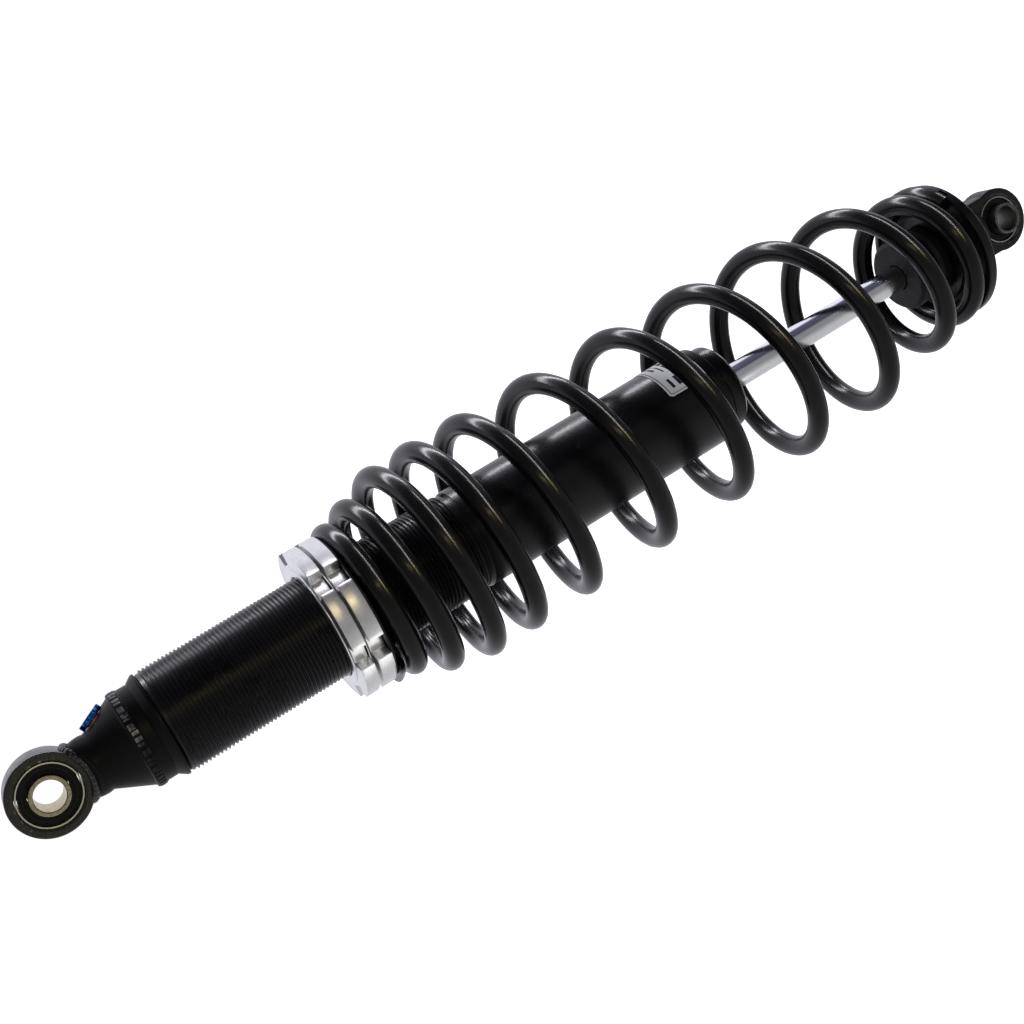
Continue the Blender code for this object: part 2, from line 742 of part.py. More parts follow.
def climb(knots, turn):
    """The depth gained from the first knot to a turn, which is the area under the pitch."""
    total = 0.0
    for (low, here), (high, _) in zip(knots, knots[1:]):
        if turn > low:
            stop = min(turn, high)
            total += (here + along(knots, stop)) / 2.0 * (stop - low)
    return total


def ease(turn, span):
    """From 0 before the span of turns to 1 after it, without a kink."""
    t = min(max((turn - span[0]) / (span[1] - span[0]), 0.0), 1.0)
    return t * t * (3.0 - 2.0 * t)


def spring_point(turn):
    """Depth, mean radius and lean of the wire centre at a turn."""
    depth = SPRING_FIRST_DEPTH + climb(SPRING_PITCH, turn)
    radius = SPRING_TOP_R + (SPRING_BARREL_R - SPRING_TOP_R) * ease(turn, SPRING_WIDENS)
    radius -= (SPRING_BARREL_R - SPRING_END_R) * ease(turn, SPRING_NARROWS)
    return depth, radius, along(SPRING_LEAN, turn)


def make_spring():
    """A right-hand helix of round wire, with both closed ends ground flat."""
    first = SPRING_FIRST_TURN
    final = SPRING_LAST_TURN
    steps = int((final - first) * SPRING_STEPS_PER_TURN)
    bm = bmesh.new()
    rings = []
    for k in range(steps + 1):
        turn = first + (final - first) * k / steps
        depth, radius, lean = spring_point(turn)
        depth += lean * sin(2.0 * pi * turn)
        angle = SPRING_AZIMUTH - 2.0 * pi * turn
        outward = Vector((cos(angle), sin(angle), 0.0))
        center = outward * radius + Vector((0.0, 0.0, -depth))
        ring = []
        for side in range(WIRE_SIDES):
            around = 2.0 * pi * side / WIRE_SIDES
            point = center + outward * WIRE_R * cos(around) + Vector((0.0, 0.0, WIRE_R * sin(around)))
            point.z = min(max(point.z, Z_SPRING_END), Z_SPRING_TOP)
            ring.append(bm.verts.new(point))
        rings.append(ring)
    for one, two in zip(rings, rings[1:]):
        for side in range(WIRE_SIDES):
            n = (side + 1) % WIRE_SIDES
            bm.faces.new((one[side], one[n], two[n], two[side]))
    bm.faces.new(rings[0])
    bm.faces.new(rings[-1])
    add_object("coil_spring", bm, (SPRING_BLACK, 0.0, 0.30), (0.0, 0.0, Z_SPRING_TOP))


def make_retainer():
    profile = [
        (RETAINER_BORE_R, Z_RETAINER_END),
        (RETAINER_BACK_R, Z_RETAINER_END),
        (RETAINER_R - 0.0040, Z_RETAINER_RIM - 0.0012),
        (RETAINER_R, Z_RETAINER_RIM),
        (RETAINER_R, Z_RETAINER_SEAT),
        (RETAINER_PILOT_R, Z_RETAINER_SEAT),
        (RETAINER_PILOT_R, Z_RETAINER_STEP),
        (RETAINER_HUB_R, Z_RETAINER_STEP),
        (RETAINER_HUB_R, Z_RETAINER_HUB),
        (RETAINER_RECESS_R, Z_RETAINER_HUB),
        (RETAINER_RECESS_R, Z_RETAINER_FLOOR),
        (RETAINER_BORE_R, Z_RETAINER_FLOOR),
    ]
    retainer = turned("lower_spring_retainer", profile, PAINTED, SEGMENTS_LARGE)
    half = RETAINER_NOTCH_WIDTH / 2.0
    outline = [(RETAINER_NOTCH_R, -half), (0.06, -half), (0.06, half), (RETAINER_NOTCH_R, half)]
    frame = Matrix.Rotation(RETAINER_NOTCH_AZIMUTH, 4, "Z")
    notch = prism(outline, Z_RETAINER_NOTCH, Z_RETAINER_HUB + 0.01, frame=frame)
    boolean(retainer, cutter("notch_cutter", notch))


def make_bump_stop():
    profile = [
        (ROD_R + GAP, Z_STOP_END),
        (STOP_BASE_R, Z_STOP_END),
        (STOP_BASE_R, -0.5304),
        (STOP_R, -0.5302),
        (STOP_R, -0.5250),
        (STOP_R - 0.0012, -0.5226),
        (STOP_R, -0.5200),
        (STOP_R, -0.5108),
        (STOP_R - 0.0008, -0.5092),
        (STOP_R - 0.0020, Z_STOP_TOP),
        (ROD_R + GAP, Z_STOP_TOP),
    ]
    turned("bump_stop", profile, RUBBER, 32, origin=(0.0, 0.0, Z_STOP_TOP))
    washer("bump_stop_washer", 0.0170, ROD_R + GAP, Z_WASHER_TOP, Z_WASHER_END, BARE_STEEL, 32)


# ---------------------------------------------------------------- lower eye
def make_lower_mount():
    center = (0.0, 0.0, -EYE_TO_EYE)
    half = LOWER_RING_WIDTH / 2.0
    neck = [
        (0.0, Z_MOUNT_NECK_END - 0.0100),
        (0.0075, Z_MOUNT_NECK_END - 0.0100),
        (0.0150, Z_MOUNT_NECK_END - 0.0010),
        (MOUNT_NECK_R, Z_MOUNT_NECK_END + 0.0020),
        (MOUNT_NECK_R, Z_MOUNT_SHOULDER),
        (MOUNT_PILOT_R, Z_MOUNT_SHOULDER),
        (MOUNT_PILOT_R, Z_MOUNT_TOP),
        (0.0, Z_MOUNT_TOP),
    ]
    mount = turned_solid("lower_eye_mount", neck, PAINTED, 32)
    web_x = MOUNT_NECK_R - 0.0004
    web = [(-web_x, half), (web_x, half), (web_x, -half), (-web_x, -half)]
    boolean(mount, cutter("web_union", prism(web, center[2], Z_MOUNT_NECK_END + 0.0015)), "UNION")
    ring = solid_cylinder(LOWER_RING_R, -half, half, SEGMENTS_LARGE, cross_frame(center))
    boolean(mount, cutter("ring_union", ring), "UNION")
    bore = solid_cylinder(LOWER_RING_BORE_R, -0.03, 0.03, 32, cross_frame(center))
    boolean(mount, cutter("lower_bore_cutter", bore))
    socket = solid_cylinder(TAIL_R + GAP, Z_TAIL_END - 0.0010, Z_MOUNT_TOP + 0.01, SEGMENTS_SMALL)
    boolean(mount, cutter("socket_cutter", socket))
    make_bush(
        "lower", center, LOWER_RING_BORE_R, LOWER_SHELL_WALL, LOWER_SLEEVE_R,
        LOWER_SLEEVE_BORE_R, LOWER_RING_WIDTH, LOWER_SLEEVE_LENGTH, 0.0005,
    )


def main():
    clear_scene()
    make_upper_eye()
    make_end_cap()
    make_gas_plug()
    make_adjuster()
    make_body_tube()
    make_label()
    make_seal_head()
    make_floating_piston()
    make_rod()
    make_piston_stack()
    lugged_ring("lock_ring", Z_LOCK_TOP, Z_LOCK_END)
    lugged_ring("preload_collar", Z_COLLAR_TOP, Z_COLLAR_END)
    washer("spring_seat", SEAT_R, RING_BORE_R, Z_SEAT_TOP, Z_SEAT_END, PAINTED, SEGMENTS_LARGE)
    make_spring()
    make_retainer()
    make_bump_stop()
    make_lower_mount()


main()
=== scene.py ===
import json
from math import acos, cos, pi, radians, sin, sqrt, tan

import bmesh
import bpy
import numpy as np
from mathutils import Matrix, Vector


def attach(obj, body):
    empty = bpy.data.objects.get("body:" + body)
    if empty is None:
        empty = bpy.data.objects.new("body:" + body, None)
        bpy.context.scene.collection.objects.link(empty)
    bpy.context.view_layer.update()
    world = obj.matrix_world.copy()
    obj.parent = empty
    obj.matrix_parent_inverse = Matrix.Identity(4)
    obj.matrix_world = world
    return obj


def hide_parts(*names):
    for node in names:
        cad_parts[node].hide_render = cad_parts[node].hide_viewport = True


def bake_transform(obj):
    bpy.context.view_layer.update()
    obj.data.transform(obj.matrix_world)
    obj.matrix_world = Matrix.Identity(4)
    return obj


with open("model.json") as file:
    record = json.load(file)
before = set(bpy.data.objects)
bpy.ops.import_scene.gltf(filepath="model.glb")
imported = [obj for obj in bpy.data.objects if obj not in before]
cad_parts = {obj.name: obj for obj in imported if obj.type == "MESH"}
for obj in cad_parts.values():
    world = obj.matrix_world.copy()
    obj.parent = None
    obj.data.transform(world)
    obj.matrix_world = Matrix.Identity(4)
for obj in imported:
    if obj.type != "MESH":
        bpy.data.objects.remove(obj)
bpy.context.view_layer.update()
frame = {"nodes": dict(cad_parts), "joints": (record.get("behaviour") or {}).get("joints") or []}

MM = 0.001
LARGE = 128
MEDIUM = 96
SMALL = 64

# The object hangs along Z below the upper eye's bore; both bores lie along Y. Sizes are in millimetres.
EYE_TO_EYE = 580.5
EYE = 19.2
LOWER_EYE = 17.4
TUBE_R = 26.0
TUBE_BORE = 23.0
THREAD_ROOT = 24.95
THREAD_PITCH = 2.0
THREAD_TOP = -57.0
THREAD_END = -218.4
NECK_R = 14.1
NECK_TOP = -24.2
BAND_R = 23.5
BAND_TOP = -41.7
BAND_END = -45.0

# The camera stands in front of the upper eye, leans down along the object and is rolled to the side.
VIEW_AZIMUTH = radians(14.5)
VIEW_TILT = radians(18.19)
VIEW_ROLL = radians(31.26)
VIEW_SWING = radians(0.13)
CAMERA_DISTANCE = 678.8
CAMERA_DEPTH = 26.2
CAMERA_ASIDE = 2.0
CAMERA_LENS = 51.213
TOWARD_CAMERA = Vector((sin(VIEW_AZIMUTH), -cos(VIEW_AZIMUTH), 0.0))
ASIDE = Vector((-cos(VIEW_AZIMUTH), -sin(VIEW_AZIMUTH), 0.0))
DOWN = Vector((0.0, 0.0, -1.0))


# ------------------------------------------------------------------ mesh helpers
def new_object(name, verts, faces, edge_angle=38.0):
    mesh = bpy.data.meshes.new(name)
    mesh.from_pydata([tuple(v) for v in verts], [], [tuple(f) for f in faces])
    bm = bmesh.new()
    bm.from_mesh(mesh)
    bmesh.ops.remove_doubles(bm, verts=bm.verts[:], dist=1e-7)
    bmesh.ops.recalc_face_normals(bm, faces=bm.faces[:])
    bm.to_mesh(mesh)
    bm.free()
    mesh.shade_smooth()
    mesh.set_sharp_from_angle(angle=radians(edge_angle))
    obj = bpy.data.objects.new(name, mesh)
    bpy.context.scene.collection.objects.link(obj)
    return obj


def grid_faces(rows, columns, wrap_rows, wrap_columns, first=0):
    faces = []
    for i in range(rows if wrap_rows else rows - 1):
        for j in range(columns if wrap_columns else columns - 1):
            a = first + i * columns + j
            b = first + i * columns + (j + 1) % columns
            c = first + ((i + 1) % rows) * columns + (j + 1) % columns
            d = first + ((i + 1) % rows) * columns + j
            faces.append((a, b, c, d))
    return faces


def soft(corners, steps=4):
    """Rounds the corners of a closed (radius, height, fillet) outline, all in millimetres."""
    points = []
    count = len(corners)
    for k in range(count):
        here = np.array(corners[k][:2], float)
        fillet = corners[k][2] if len(corners[k]) > 2 else 0.0
        before = np.array(corners[k - 1][:2], float) - here
        after = np.array(corners[(k + 1) % count][:2], float) - here
        if fillet <= 0.0:
            points.append(tuple(here))
            continue
        u = before / np.linalg.norm(before)
        v = after / np.linalg.norm(after)
        half = acos(float(np.clip(u @ v, -1.0, 1.0))) / 2.0
        reach = min(fillet / tan(half), 0.49 * np.linalg.norm(before), 0.49 * np.linalg.norm(after))
        radius = reach * tan(half)
        middle = (u + v) / np.linalg.norm(u + v) * radius / sin(half)
        start = u * reach - middle
        end = v * reach - middle
        for step in range(steps + 1):
            t = step / steps
            arm = start * (1.0 - t) + end * t
            arm = arm / np.linalg.norm(arm) * radius
            points.append(tuple(here + middle + arm))
    return points


def turned(name, outline, segments=LARGE, axis="Z", center=(0.0, 0.0, 0.0), edge_angle=38.0):
    """Revolves a closed outline of (radius, height) in millimetres about Z, or about -Y."""
    angles = np.arange(segments) * 2.0 * pi / segments
    verts = []
    for radius, height in outline:
        r = radius * MM
        h = height * MM
        for a in angles:
            if axis == "Z":
                verts.append((center[0] + r * cos(a), center[1] + r * sin(a), center[2] + h))
            else:
                verts.append((center[0] + r * cos(a), center[1] - h, center[2] + r * sin(a)))
    faces = grid_faces(len(outline), segments, True, True)
    return new_object(name, verts, faces, edge_angle)


def apply_modifiers(obj):
    depsgraph = bpy.context.evaluated_depsgraph_get()
    mesh = bpy.data.meshes.new_from_object(obj.evaluated_get(depsgraph))
    obj.modifiers.clear()
    obj.data = mesh


def boolean(obj, tools, operation="DIFFERENCE", edge_angle=38.0):
    for tool in tools:
        mod = obj.modifiers.new(operation.title(), "BOOLEAN")
        mod.operation = operation
        mod.object = tool
        mod.solver = "EXACT"
    apply_modifiers(obj)
    for tool in tools:
        bpy.data.objects.remove(tool)
    obj.data.shade_smooth()
    obj.data.set_sharp_from_angle(angle=radians(edge_angle))
    return obj


def prism(name, outline, low, high, bevel=0.0, place=Matrix.Identity(4), edge_angle=38.0, segments=2):
    """Extrudes an (x, y) outline in millimetres from low to high, with rounded edges."""
    bm = bmesh.new()
    loops = []
    for z in (low, high):
        loops.append([bm.verts.new((x * MM, y * MM, z * MM)) for x, y in outline])
    count = len(outline)
    for k in range(count):
        n = (k + 1) % count
        bm.faces.new((loops[0][k], loops[0][n], loops[1][n], loops[1][k]))
    bm.faces.new(loops[0][::-1])
    bm.faces.new(loops[1])
    bmesh.ops.recalc_face_normals(bm, faces=bm.faces[:])
    if bevel > 0.0:
        sharp = [e for e in bm.edges if e.calc_face_angle(0.0) > radians(30.0)]
        bmesh.ops.bevel(
            bm, geom=sharp, offset=bevel * MM, segments=segments, profile=0.5, affect="EDGES"
        )
    bmesh.ops.transform(bm, matrix=place, verts=bm.verts[:])
    mesh = bpy.data.meshes.new(name)
    bm.to_mesh(mesh)
    bm.free()
    mesh.shade_smooth()
    mesh.set_sharp_from_angle(angle=radians(edge_angle))
    obj = bpy.data.objects.new(name, mesh)
    bpy.context.scene.collection.objects.link(obj)
    return obj


def tube_along(name, centers, normals, binormals, radii, sides=12, closed=True, edge_angle=60.0):
    """Sweeps a round section along a path; open sweeps get flat ends."""
    verts = []
    for center, n, b, radius in zip(centers, normals, binormals, radii):
        for k in range(sides):
            a = 2.0 * pi * k / sides
            verts.append(center + n * radius * cos(a) + b * radius * sin(a))
    faces = grid_faces(len(centers), sides, closed, True)
    if not closed:
        faces.append(tuple(range(sides))[::-1])
        faces.append(tuple(range(len(verts) - sides, len(verts))))
    return new_object(name, verts, faces, edge_angle)


def join(name, objects):
    """One object from several, which keep their shading."""
    bm = bmesh.new()
    for obj in objects:
        bm.from_mesh(obj.data)
        bpy.data.objects.remove(obj)
    mesh = bpy.data.meshes.new(name)
    bm.to_mesh(mesh)
    bm.free()
    obj = bpy.data.objects.new(name, mesh)
    bpy.context.scene.collection.objects.link(obj)
    return obj


# ------------------------------------------------------------------ materials
class Nodes:
    """Short names for building one material's node tree."""

    def __init__(self, name):
        self.material = bpy.data.materials.new(name)
        self.material.use_nodes = True
        self.tree = self.material.node_tree
        self.shader = self.tree.nodes["Principled BSDF"]
        coordinates = self.tree.nodes.new("ShaderNodeTexCoord")
        self.place = coordinates.outputs["Object"]

    def link(self, source, target):
        self.tree.links.new(source, target)

    def math(self, operation, a, b=0.0):
        node = self.tree.nodes.new("ShaderNodeMath")
        node.operation = operation
        for socket, value in zip(node.inputs, (a, b)):
            if isinstance(value, (int, float)):
                socket.default_value = value
            else:
                self.link(value, socket)
        return node.outputs[0]

    def noise(self, vector, scale, detail=3.0, rough=0.55):
        node = self.tree.nodes.new("ShaderNodeTexNoise")
        node.inputs["Scale"].default_value = scale
        node.inputs["Detail"].default_value = detail
        node.inputs["Roughness"].default_value = rough
        self.link(vector, node.inputs["Vector"])
        return node.outputs["Fac"]

    def spread(self, value, low, high, to_low, to_high):
        node = self.tree.nodes.new("ShaderNodeMapRange")
        node.inputs["From Min"].default_value = low
        node.inputs["From Max"].default_value = high
        node.inputs["To Min"].default_value = to_low
        node.inputs["To Max"].default_value = to_high
        self.link(value, node.inputs["Value"])
        return node.outputs["Result"]

    def mix(self, factor, first, second):
        node = self.tree.nodes.new("ShaderNodeMix")
        node.data_type = "RGBA"
        self.link(factor, node.inputs["Factor"])
        for socket, value in ((node.inputs[6], first), (node.inputs[7], second)):
            if isinstance(value, tuple):
                socket.default_value = (*value, 1.0)
            else:
                self.link(value, socket)
        return node.outputs[2]

    def lathe_vector(self, scale, axis="Z", offset=0.0):
        """Coordinates that change with radius and depth only, for tool marks left by turning."""
        split = self.tree.nodes.new("ShaderNodeSeparateXYZ")
        self.link(self.place, split.inputs[0])
        across = split.outputs["Y"] if axis == "Z" else self.math("ADD", split.outputs["Z"], offset)
        along = split.outputs["Z"] if axis == "Z" else split.outputs["Y"]
        squares = self.math(
            "ADD",
            self.math("POWER", self.math("ABSOLUTE", split.outputs["X"]), 2.0),
            self.math("POWER", self.math("ABSOLUTE", across), 2.0),
        )
        radius = self.math("SQRT", squares)
        combine = self.tree.nodes.new("ShaderNodeCombineXYZ")
        self.link(self.math("MULTIPLY", radius, scale), combine.inputs["X"])
        self.link(self.math("MULTIPLY", along, scale), combine.inputs["Z"])
        return combine.outputs[0]

    def bump(self, height, strength, distance):
        node = self.tree.nodes.new("ShaderNodeBump")
        node.inputs["Strength"].default_value = strength
        node.inputs["Distance"].default_value = distance
        self.link(height, node.inputs["Height"])
        previous = self.shader.inputs["Normal"]
        if previous.is_linked:
            self.link(previous.links[0].from_socket, node.inputs["Normal"])
        self.link(node.outputs["Normal"], previous)


def finish_material(
    name, dark, light, metallic, rough, grain=600.0, bump=0.15, bump_scale=2500.0, bump_depth=0.00004,
    lathe=0.0, lathe_axis="Z", lathe_offset=0.0, lathe_depth=0.00003, wear=None, wear_from=0.56,
    specular=0.3, coat=0.0, coat_rough=0.1, anisotropic=0.0,
):
    """A finish with mottled colour, uneven gloss, a fine surface and optional tool marks and lighter
    edges, which are edge wear on most finishes and a painted highlight on the band marks.
    """
    n = Nodes(name)
    cloud = n.noise(n.place, grain, 4.0, 0.6)
    color = n.mix(n.spread(cloud, 0.3, 0.7, 0.0, 1.0), dark, light)
    if wear is not None:
        geometry = n.tree.nodes.new("ShaderNodeNewGeometry")
        patchy = n.noise(n.place, 260.0, 3.0, 0.7)
        edge = n.spread(geometry.outputs["Pointiness"], wear_from, wear_from + 0.06, 0.0, 1.0)
        amount = n.math("MULTIPLY", edge, n.spread(patchy, 0.42, 0.62, 0.0, 0.8))
        color = n.mix(amount, color, wear)
    n.link(color, n.shader.inputs["Base Color"])
    n.shader.inputs["Metallic"].default_value = metallic
    n.shader.inputs["Specular IOR Level"].default_value = specular
    n.shader.inputs["Coat Weight"].default_value = coat
    n.shader.inputs["Coat Roughness"].default_value = coat_rough
    smear = n.noise(n.place, grain * 0.35, 3.0, 0.5)
    n.link(n.spread(smear, 0.3, 0.7, rough[0], rough[1]), n.shader.inputs["Roughness"])
    if bump > 0.0:
        n.bump(n.noise(n.place, bump_scale, 3.0, 0.5), bump, bump_depth)
    if lathe > 0.0:
        lines = n.noise(n.lathe_vector(lathe, lathe_axis, lathe_offset), 1.0, 3.0, 0.6)
        n.bump(lines, 0.35, lathe_depth)
    if anisotropic > 0.0:
        tangent = n.tree.nodes.new("ShaderNodeTangent")
        tangent.direction_type = "RADIAL"
        tangent.axis = "Z"
        n.link(tangent.outputs[0], n.shader.inputs["Tangent"])
        n.shader.inputs["Anisotropic"].default_value = anisotropic
    return n.material


def make_materials():
    looks = {}

    def add(key, *args, **kwargs):
        looks[key] = finish_material(key, *args, **kwargs)

    grey = (0.16, 0.16, 0.155)
    add("cap_black", (0.003, 0.003, 0.003), (0.006, 0.006, 0.005), 0.0, (0.36, 0.46), 500.0,
        0.25, 1800.0, 0.00005, wear=grey, wear_from=0.60, specular=0.14)
    add("weld_black", (0.004, 0.004, 0.004), (0.008, 0.008, 0.008), 0.0, (0.12, 0.22), 900.0,
        0.4, 1200.0, 0.0001, specular=0.8)
    # The band marks' light grey edges are a painted highlight: this look goes only on the marks on the lit
    # side of the band.
    add("mark_black", (0.006, 0.006, 0.006), (0.012, 0.012, 0.012), 0.0, (0.16, 0.26), 900.0,
        0.5, 1500.0, 0.0001, wear=(0.30, 0.31, 0.32), wear_from=0.56, specular=0.8)
    add("eye_black", (0.014, 0.013, 0.009), (0.050, 0.046, 0.030), 0.0, (0.20, 0.34), 900.0,
        0.5, 2200.0, 0.00008, wear=(0.42, 0.38, 0.24), wear_from=0.54, specular=0.5)
    add("tube_black", (0.004, 0.004, 0.005), (0.006, 0.006, 0.007), 0.0, (0.24, 0.30), 300.0,
        0.05, 3000.0, 0.00002, lathe=6000.0, lathe_depth=0.000006, specular=0.3)
    add("thread_black", (0.005, 0.005, 0.005), (0.008, 0.008, 0.008), 0.0, (0.26, 0.32), 200.0,
        0.0, specular=0.34)
    add("seal_cap_black", (0.004, 0.004, 0.005), (0.008, 0.008, 0.009), 0.0, (0.20, 0.28), 500.0,
        0.06, 2500.0, 0.00002, lathe=5000.0, lathe_depth=0.000008, specular=0.3)
    add("spring_black", (0.003, 0.003, 0.003), (0.005, 0.005, 0.005), 0.0, (0.18, 0.24), 260.0,
        0.09, 1100.0, 0.00004, specular=0.25)
    add("seat_black", (0.005, 0.005, 0.006), (0.010, 0.010, 0.010), 0.0, (0.26, 0.40), 500.0,
        0.2, 1500.0, 0.00005)
    add("retainer_black", (0.005, 0.005, 0.006), (0.010, 0.010, 0.010), 0.0, (0.22, 0.36), 500.0,
        0.2, 1500.0, 0.00005, wear=(0.34, 0.35, 0.34), wear_from=0.54)
    add("forged_black", (0.006, 0.006, 0.006), (0.016, 0.016, 0.015), 0.0, (0.34, 0.50), 800.0,
        0.6, 1500.0, 0.0001, wear=grey, wear_from=0.60, specular=0.35)
    add("ring_aluminium", (0.74, 0.74, 0.73), (0.86, 0.86, 0.85), 1.0, (0.27, 0.34), 500.0,
        0.06, 3000.0, 0.00002, lathe=7000.0, lathe_depth=0.00002)
    add("bare_aluminium", (0.60, 0.60, 0.59), (0.74, 0.74, 0.73), 1.0, (0.26, 0.36), 500.0,
        0.05, 3000.0, 0.00002, lathe=5000.0)
    add("zinc_upper", (0.36, 0.31, 0.17), (0.64, 0.58, 0.36), 1.0, (0.24, 0.38), 900.0,
        0.3, 2500.0, 0.00003, lathe=7000.0, lathe_axis="Y")
    add("zinc_lower", (0.09, 0.09, 0.085), (0.20, 0.20, 0.18), 1.0, (0.30, 0.44), 900.0,
        0.3, 2500.0, 0.00003, lathe=7000.0, lathe_axis="Y", lathe_offset=EYE_TO_EYE * MM,
        wear=(0.80, 0.79, 0.74), wear_from=0.52)
    add("shell_upper", (0.74, 0.71, 0.52), (0.90, 0.87, 0.70), 1.0, (0.30, 0.42), 900.0,
        0.2, 2500.0, 0.00003)
    add("shell_lower", (0.40, 0.40, 0.37), (0.60, 0.60, 0.56), 1.0, (0.30, 0.42), 900.0,
        0.2, 2500.0, 0.00003)
    add("bare_steel", (0.34, 0.34, 0.34), (0.50, 0.50, 0.50), 1.0, (0.26, 0.40), 600.0,
        0.1, 2500.0, 0.00003, lathe=5000.0)
    add("rod_chrome", (0.84, 0.85, 0.87), (0.90, 0.91, 0.92), 1.0, (0.11, 0.16), 200.0,
        0.03, 4000.0, 0.00001, lathe=9000.0, lathe_depth=0.000003)
    add("rubber", (0.006, 0.006, 0.006), (0.013, 0.013, 0.013), 0.0, (0.45, 0.65), 800.0,
        0.4, 2500.0, 0.00005, specular=0.3)
    add("bump_rubber", (0.007, 0.007, 0.008), (0.012, 0.012, 0.013), 0.0, (0.50, 0.62), 500.0,
        0.25, 2500.0, 0.00004, specular=0.3)
    add("orange_rubber", (0.60, 0.12, 0.03), (0.80, 0.20, 0.06), 0.0, (0.40, 0.55), 900.0,
        0.2, 2500.0, 0.00003)
    add("blue_anodised", (0.006, 0.07, 0.30), (0.015, 0.15, 0.48), 0.9, (0.20, 0.32), 900.0,
        0.15, 3000.0, 0.00003)
    add("bronze", (0.40, 0.25, 0.10), (0.55, 0.36, 0.16), 1.0, (0.30, 0.42), 600.0,
        0.1, 2500.0, 0.00003, lathe=5000.0)
    add("band_plastic", (0.22, 0.13, 0.07), (0.32, 0.19, 0.10), 0.0, (0.45, 0.6), 900.0,
        0.2, 2500.0, 0.00003)
    add("label_white", (0.92, 0.92, 0.92), (0.97, 0.97, 0.97), 0.0, (0.30, 0.42), 500.0,
        0.05, 1500.0, 0.00002)
    add("label_grey", (0.84, 0.85, 0.86), (0.92, 0.93, 0.94), 0.0, (0.30, 0.42), 1500.0,
        0.08, 2500.0, 0.00002)
    add("label_ink", (0.020, 0.020, 0.022), (0.035, 0.035, 0.038), 0.0, (0.35, 0.5), 800.0,
        0.05, 2500.0, 0.00002)
    return looks


LOOKS = make_materials()


def place(obj, body, slot, look, *nodes):
    """Finishes a piece: its material, the body it rides on and the nodes it stands for, which it hides;
    the slot argument is not used.
    """
    obj.data.materials.clear()
    obj.data.materials.append(LOOKS[look])
    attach(obj, body)
    if nodes:
        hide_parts(*nodes)
    return obj


# ------------------------------------------------------------------ eyes and bushes
def bush(prefix, body, sleeve_body, z, shell, rubber, sleeve, look):
    """The shell, the rubber with a moulded lip and the sleeve of one eye, about its bore."""
    center = (0.0, 0.0, z * MM)
    outer, inner, half = shell
    outline = soft([(outer, -half, 0.25), (outer, half, 0.25), (inner, half, 0.2), (inner, -half, 0.2)], 3)
    obj = turned(f"{prefix}_shell", outline, LARGE, "Y", center)
    place(obj, body, "zinc_steel", f"shell_{prefix}", f"{prefix}_bush_shell")
    outer, inner, half, dish = rubber
    middle = (outer + inner) / 2.0
    side = [
        (outer, half - 0.5, 0.3),
        (middle + 0.9, half - dish, 0.4),
        (middle + 0.5, half - dish + 0.5, 0.2),
        (middle - 0.1, half - dish + 0.5, 0.2),
        (middle - 0.5, half - dish - 0.1, 0.3),
        (inner, half + 0.2, 0.3),
    ]
    back = [(r, -h, f) for r, h, f in reversed(side)]
    obj = turned(f"{prefix}_rubber", soft(side + back, 3), LARGE, "Y", center)
    place(obj, body, "rubber", "rubber", f"{prefix}_bush_rubber")
    outer, inner, half, chamfer = sleeve
    side = [
        (outer, half, 0.25),
        (inner + chamfer, half, 0.1),
        (inner, half - chamfer * 1.4, 0.1),
    ]
    back = [(r, -h, f) for r, h, f in reversed(side)]
    obj = turned(f"{prefix}_sleeve", soft(side + back, 3), LARGE, "Y", center)
    place(obj, sleeve_body, "zinc_steel", look, f"{prefix}_bush_sleeve")


def make_upper_eye():
    """The welded eye ring and the bush pressed into it."""
    half = 7.0
    outline = soft(
        [(EYE, -half, 0.9), (EYE, half, 0.9), (16.0, half, 0.15), (15.0, half - 0.9, 0.1),
         (15.0, 0.9 - half, 0.1), (16.0, -half, 0.15)],
        4,
    )
    ring = turned("eye_ring", outline, 160, "Y")
    place(ring, "body", "black_cap", "eye_black", "upper_eye_ring")
    bush("upper", "body", "upper_sleeve", 0.0, (14.7, 13.95, 6.6), (13.6, 9.4, 6.2, 1.6),
         (9.1, 7.1, 8.0, 0.35), "zinc_upper")


def seam_point(angle):
    """A point of the saddle-shaped seam between the eye ring and the end cap, in millimetres."""
    c = cos(angle)
    s = sin(angle)
    x = 13.2 * abs(c) ** 0.75 * (1 if c >= 0 else -1)
    y = 8.4 * abs(s) ** 0.75 * (1 if s >= 0 else -1)
    return Vector((x, y, -sqrt(EYE ** 2 - x * x)))


def make_weld():
    """A run of overlapping beads around the seam."""
    steps = 240
    beads = 34
    centers, normals, binormals, radii = [], [], [], []
    for k in range(steps):
        angle = 2.0 * pi * k / steps
        here = seam_point(angle)
        ahead = seam_point(angle + 0.02)
        tangent = (ahead - here).normalized()
        outward = Vector((here.x, here.y, 0.0)).normalized()
        binormal = tangent.cross(outward).normalized()
        phase = (angle * beads / (2.0 * pi)) % 1.0
        lump = 0.32 * (1.0 - phase) ** 1.5 + 0.12 * sin(7.0 * angle) + 0.1 * sin(3.0 * angle + 1.0)
        centers.append((here + Vector((0.0, 0.0, -0.4))) * MM)
        normals.append(binormal.cross(tangent))
        binormals.append(binormal)
        radii.append((1.75 + lump) * MM)
    bead = tube_along("weld_bead", centers, normals, binormals, radii, 16)
    place(bead, "body", "black_cap", "weld_black")


def adjuster_matrix():
    """The adjuster's frame from the joint, with Z along its axis."""
    joint = next(j for j in frame["joints"] if j["name"] == "adjuster_turn")
    turn = Vector(joint["axis"]).to_track_quat("Z", "Y").to_matrix().to_4x4()
    return Matrix.Translation(joint["pos_m"]) @ turn


def solid_of_turn(name, outline, matrix, segments=SMALL):
    """A turned closed solid whose first and last points lie on the axis, set into a frame."""
    verts = []
    for radius, height in outline:
        for k in range(segments):
            a = 2.0 * pi * k / segments
            spot = Vector((radius * cos(a), radius * sin(a), height)) * MM
            verts.append(matrix @ spot)
    faces = grid_faces(len(outline), segments, False, True)
    return new_object(name, verts, faces)


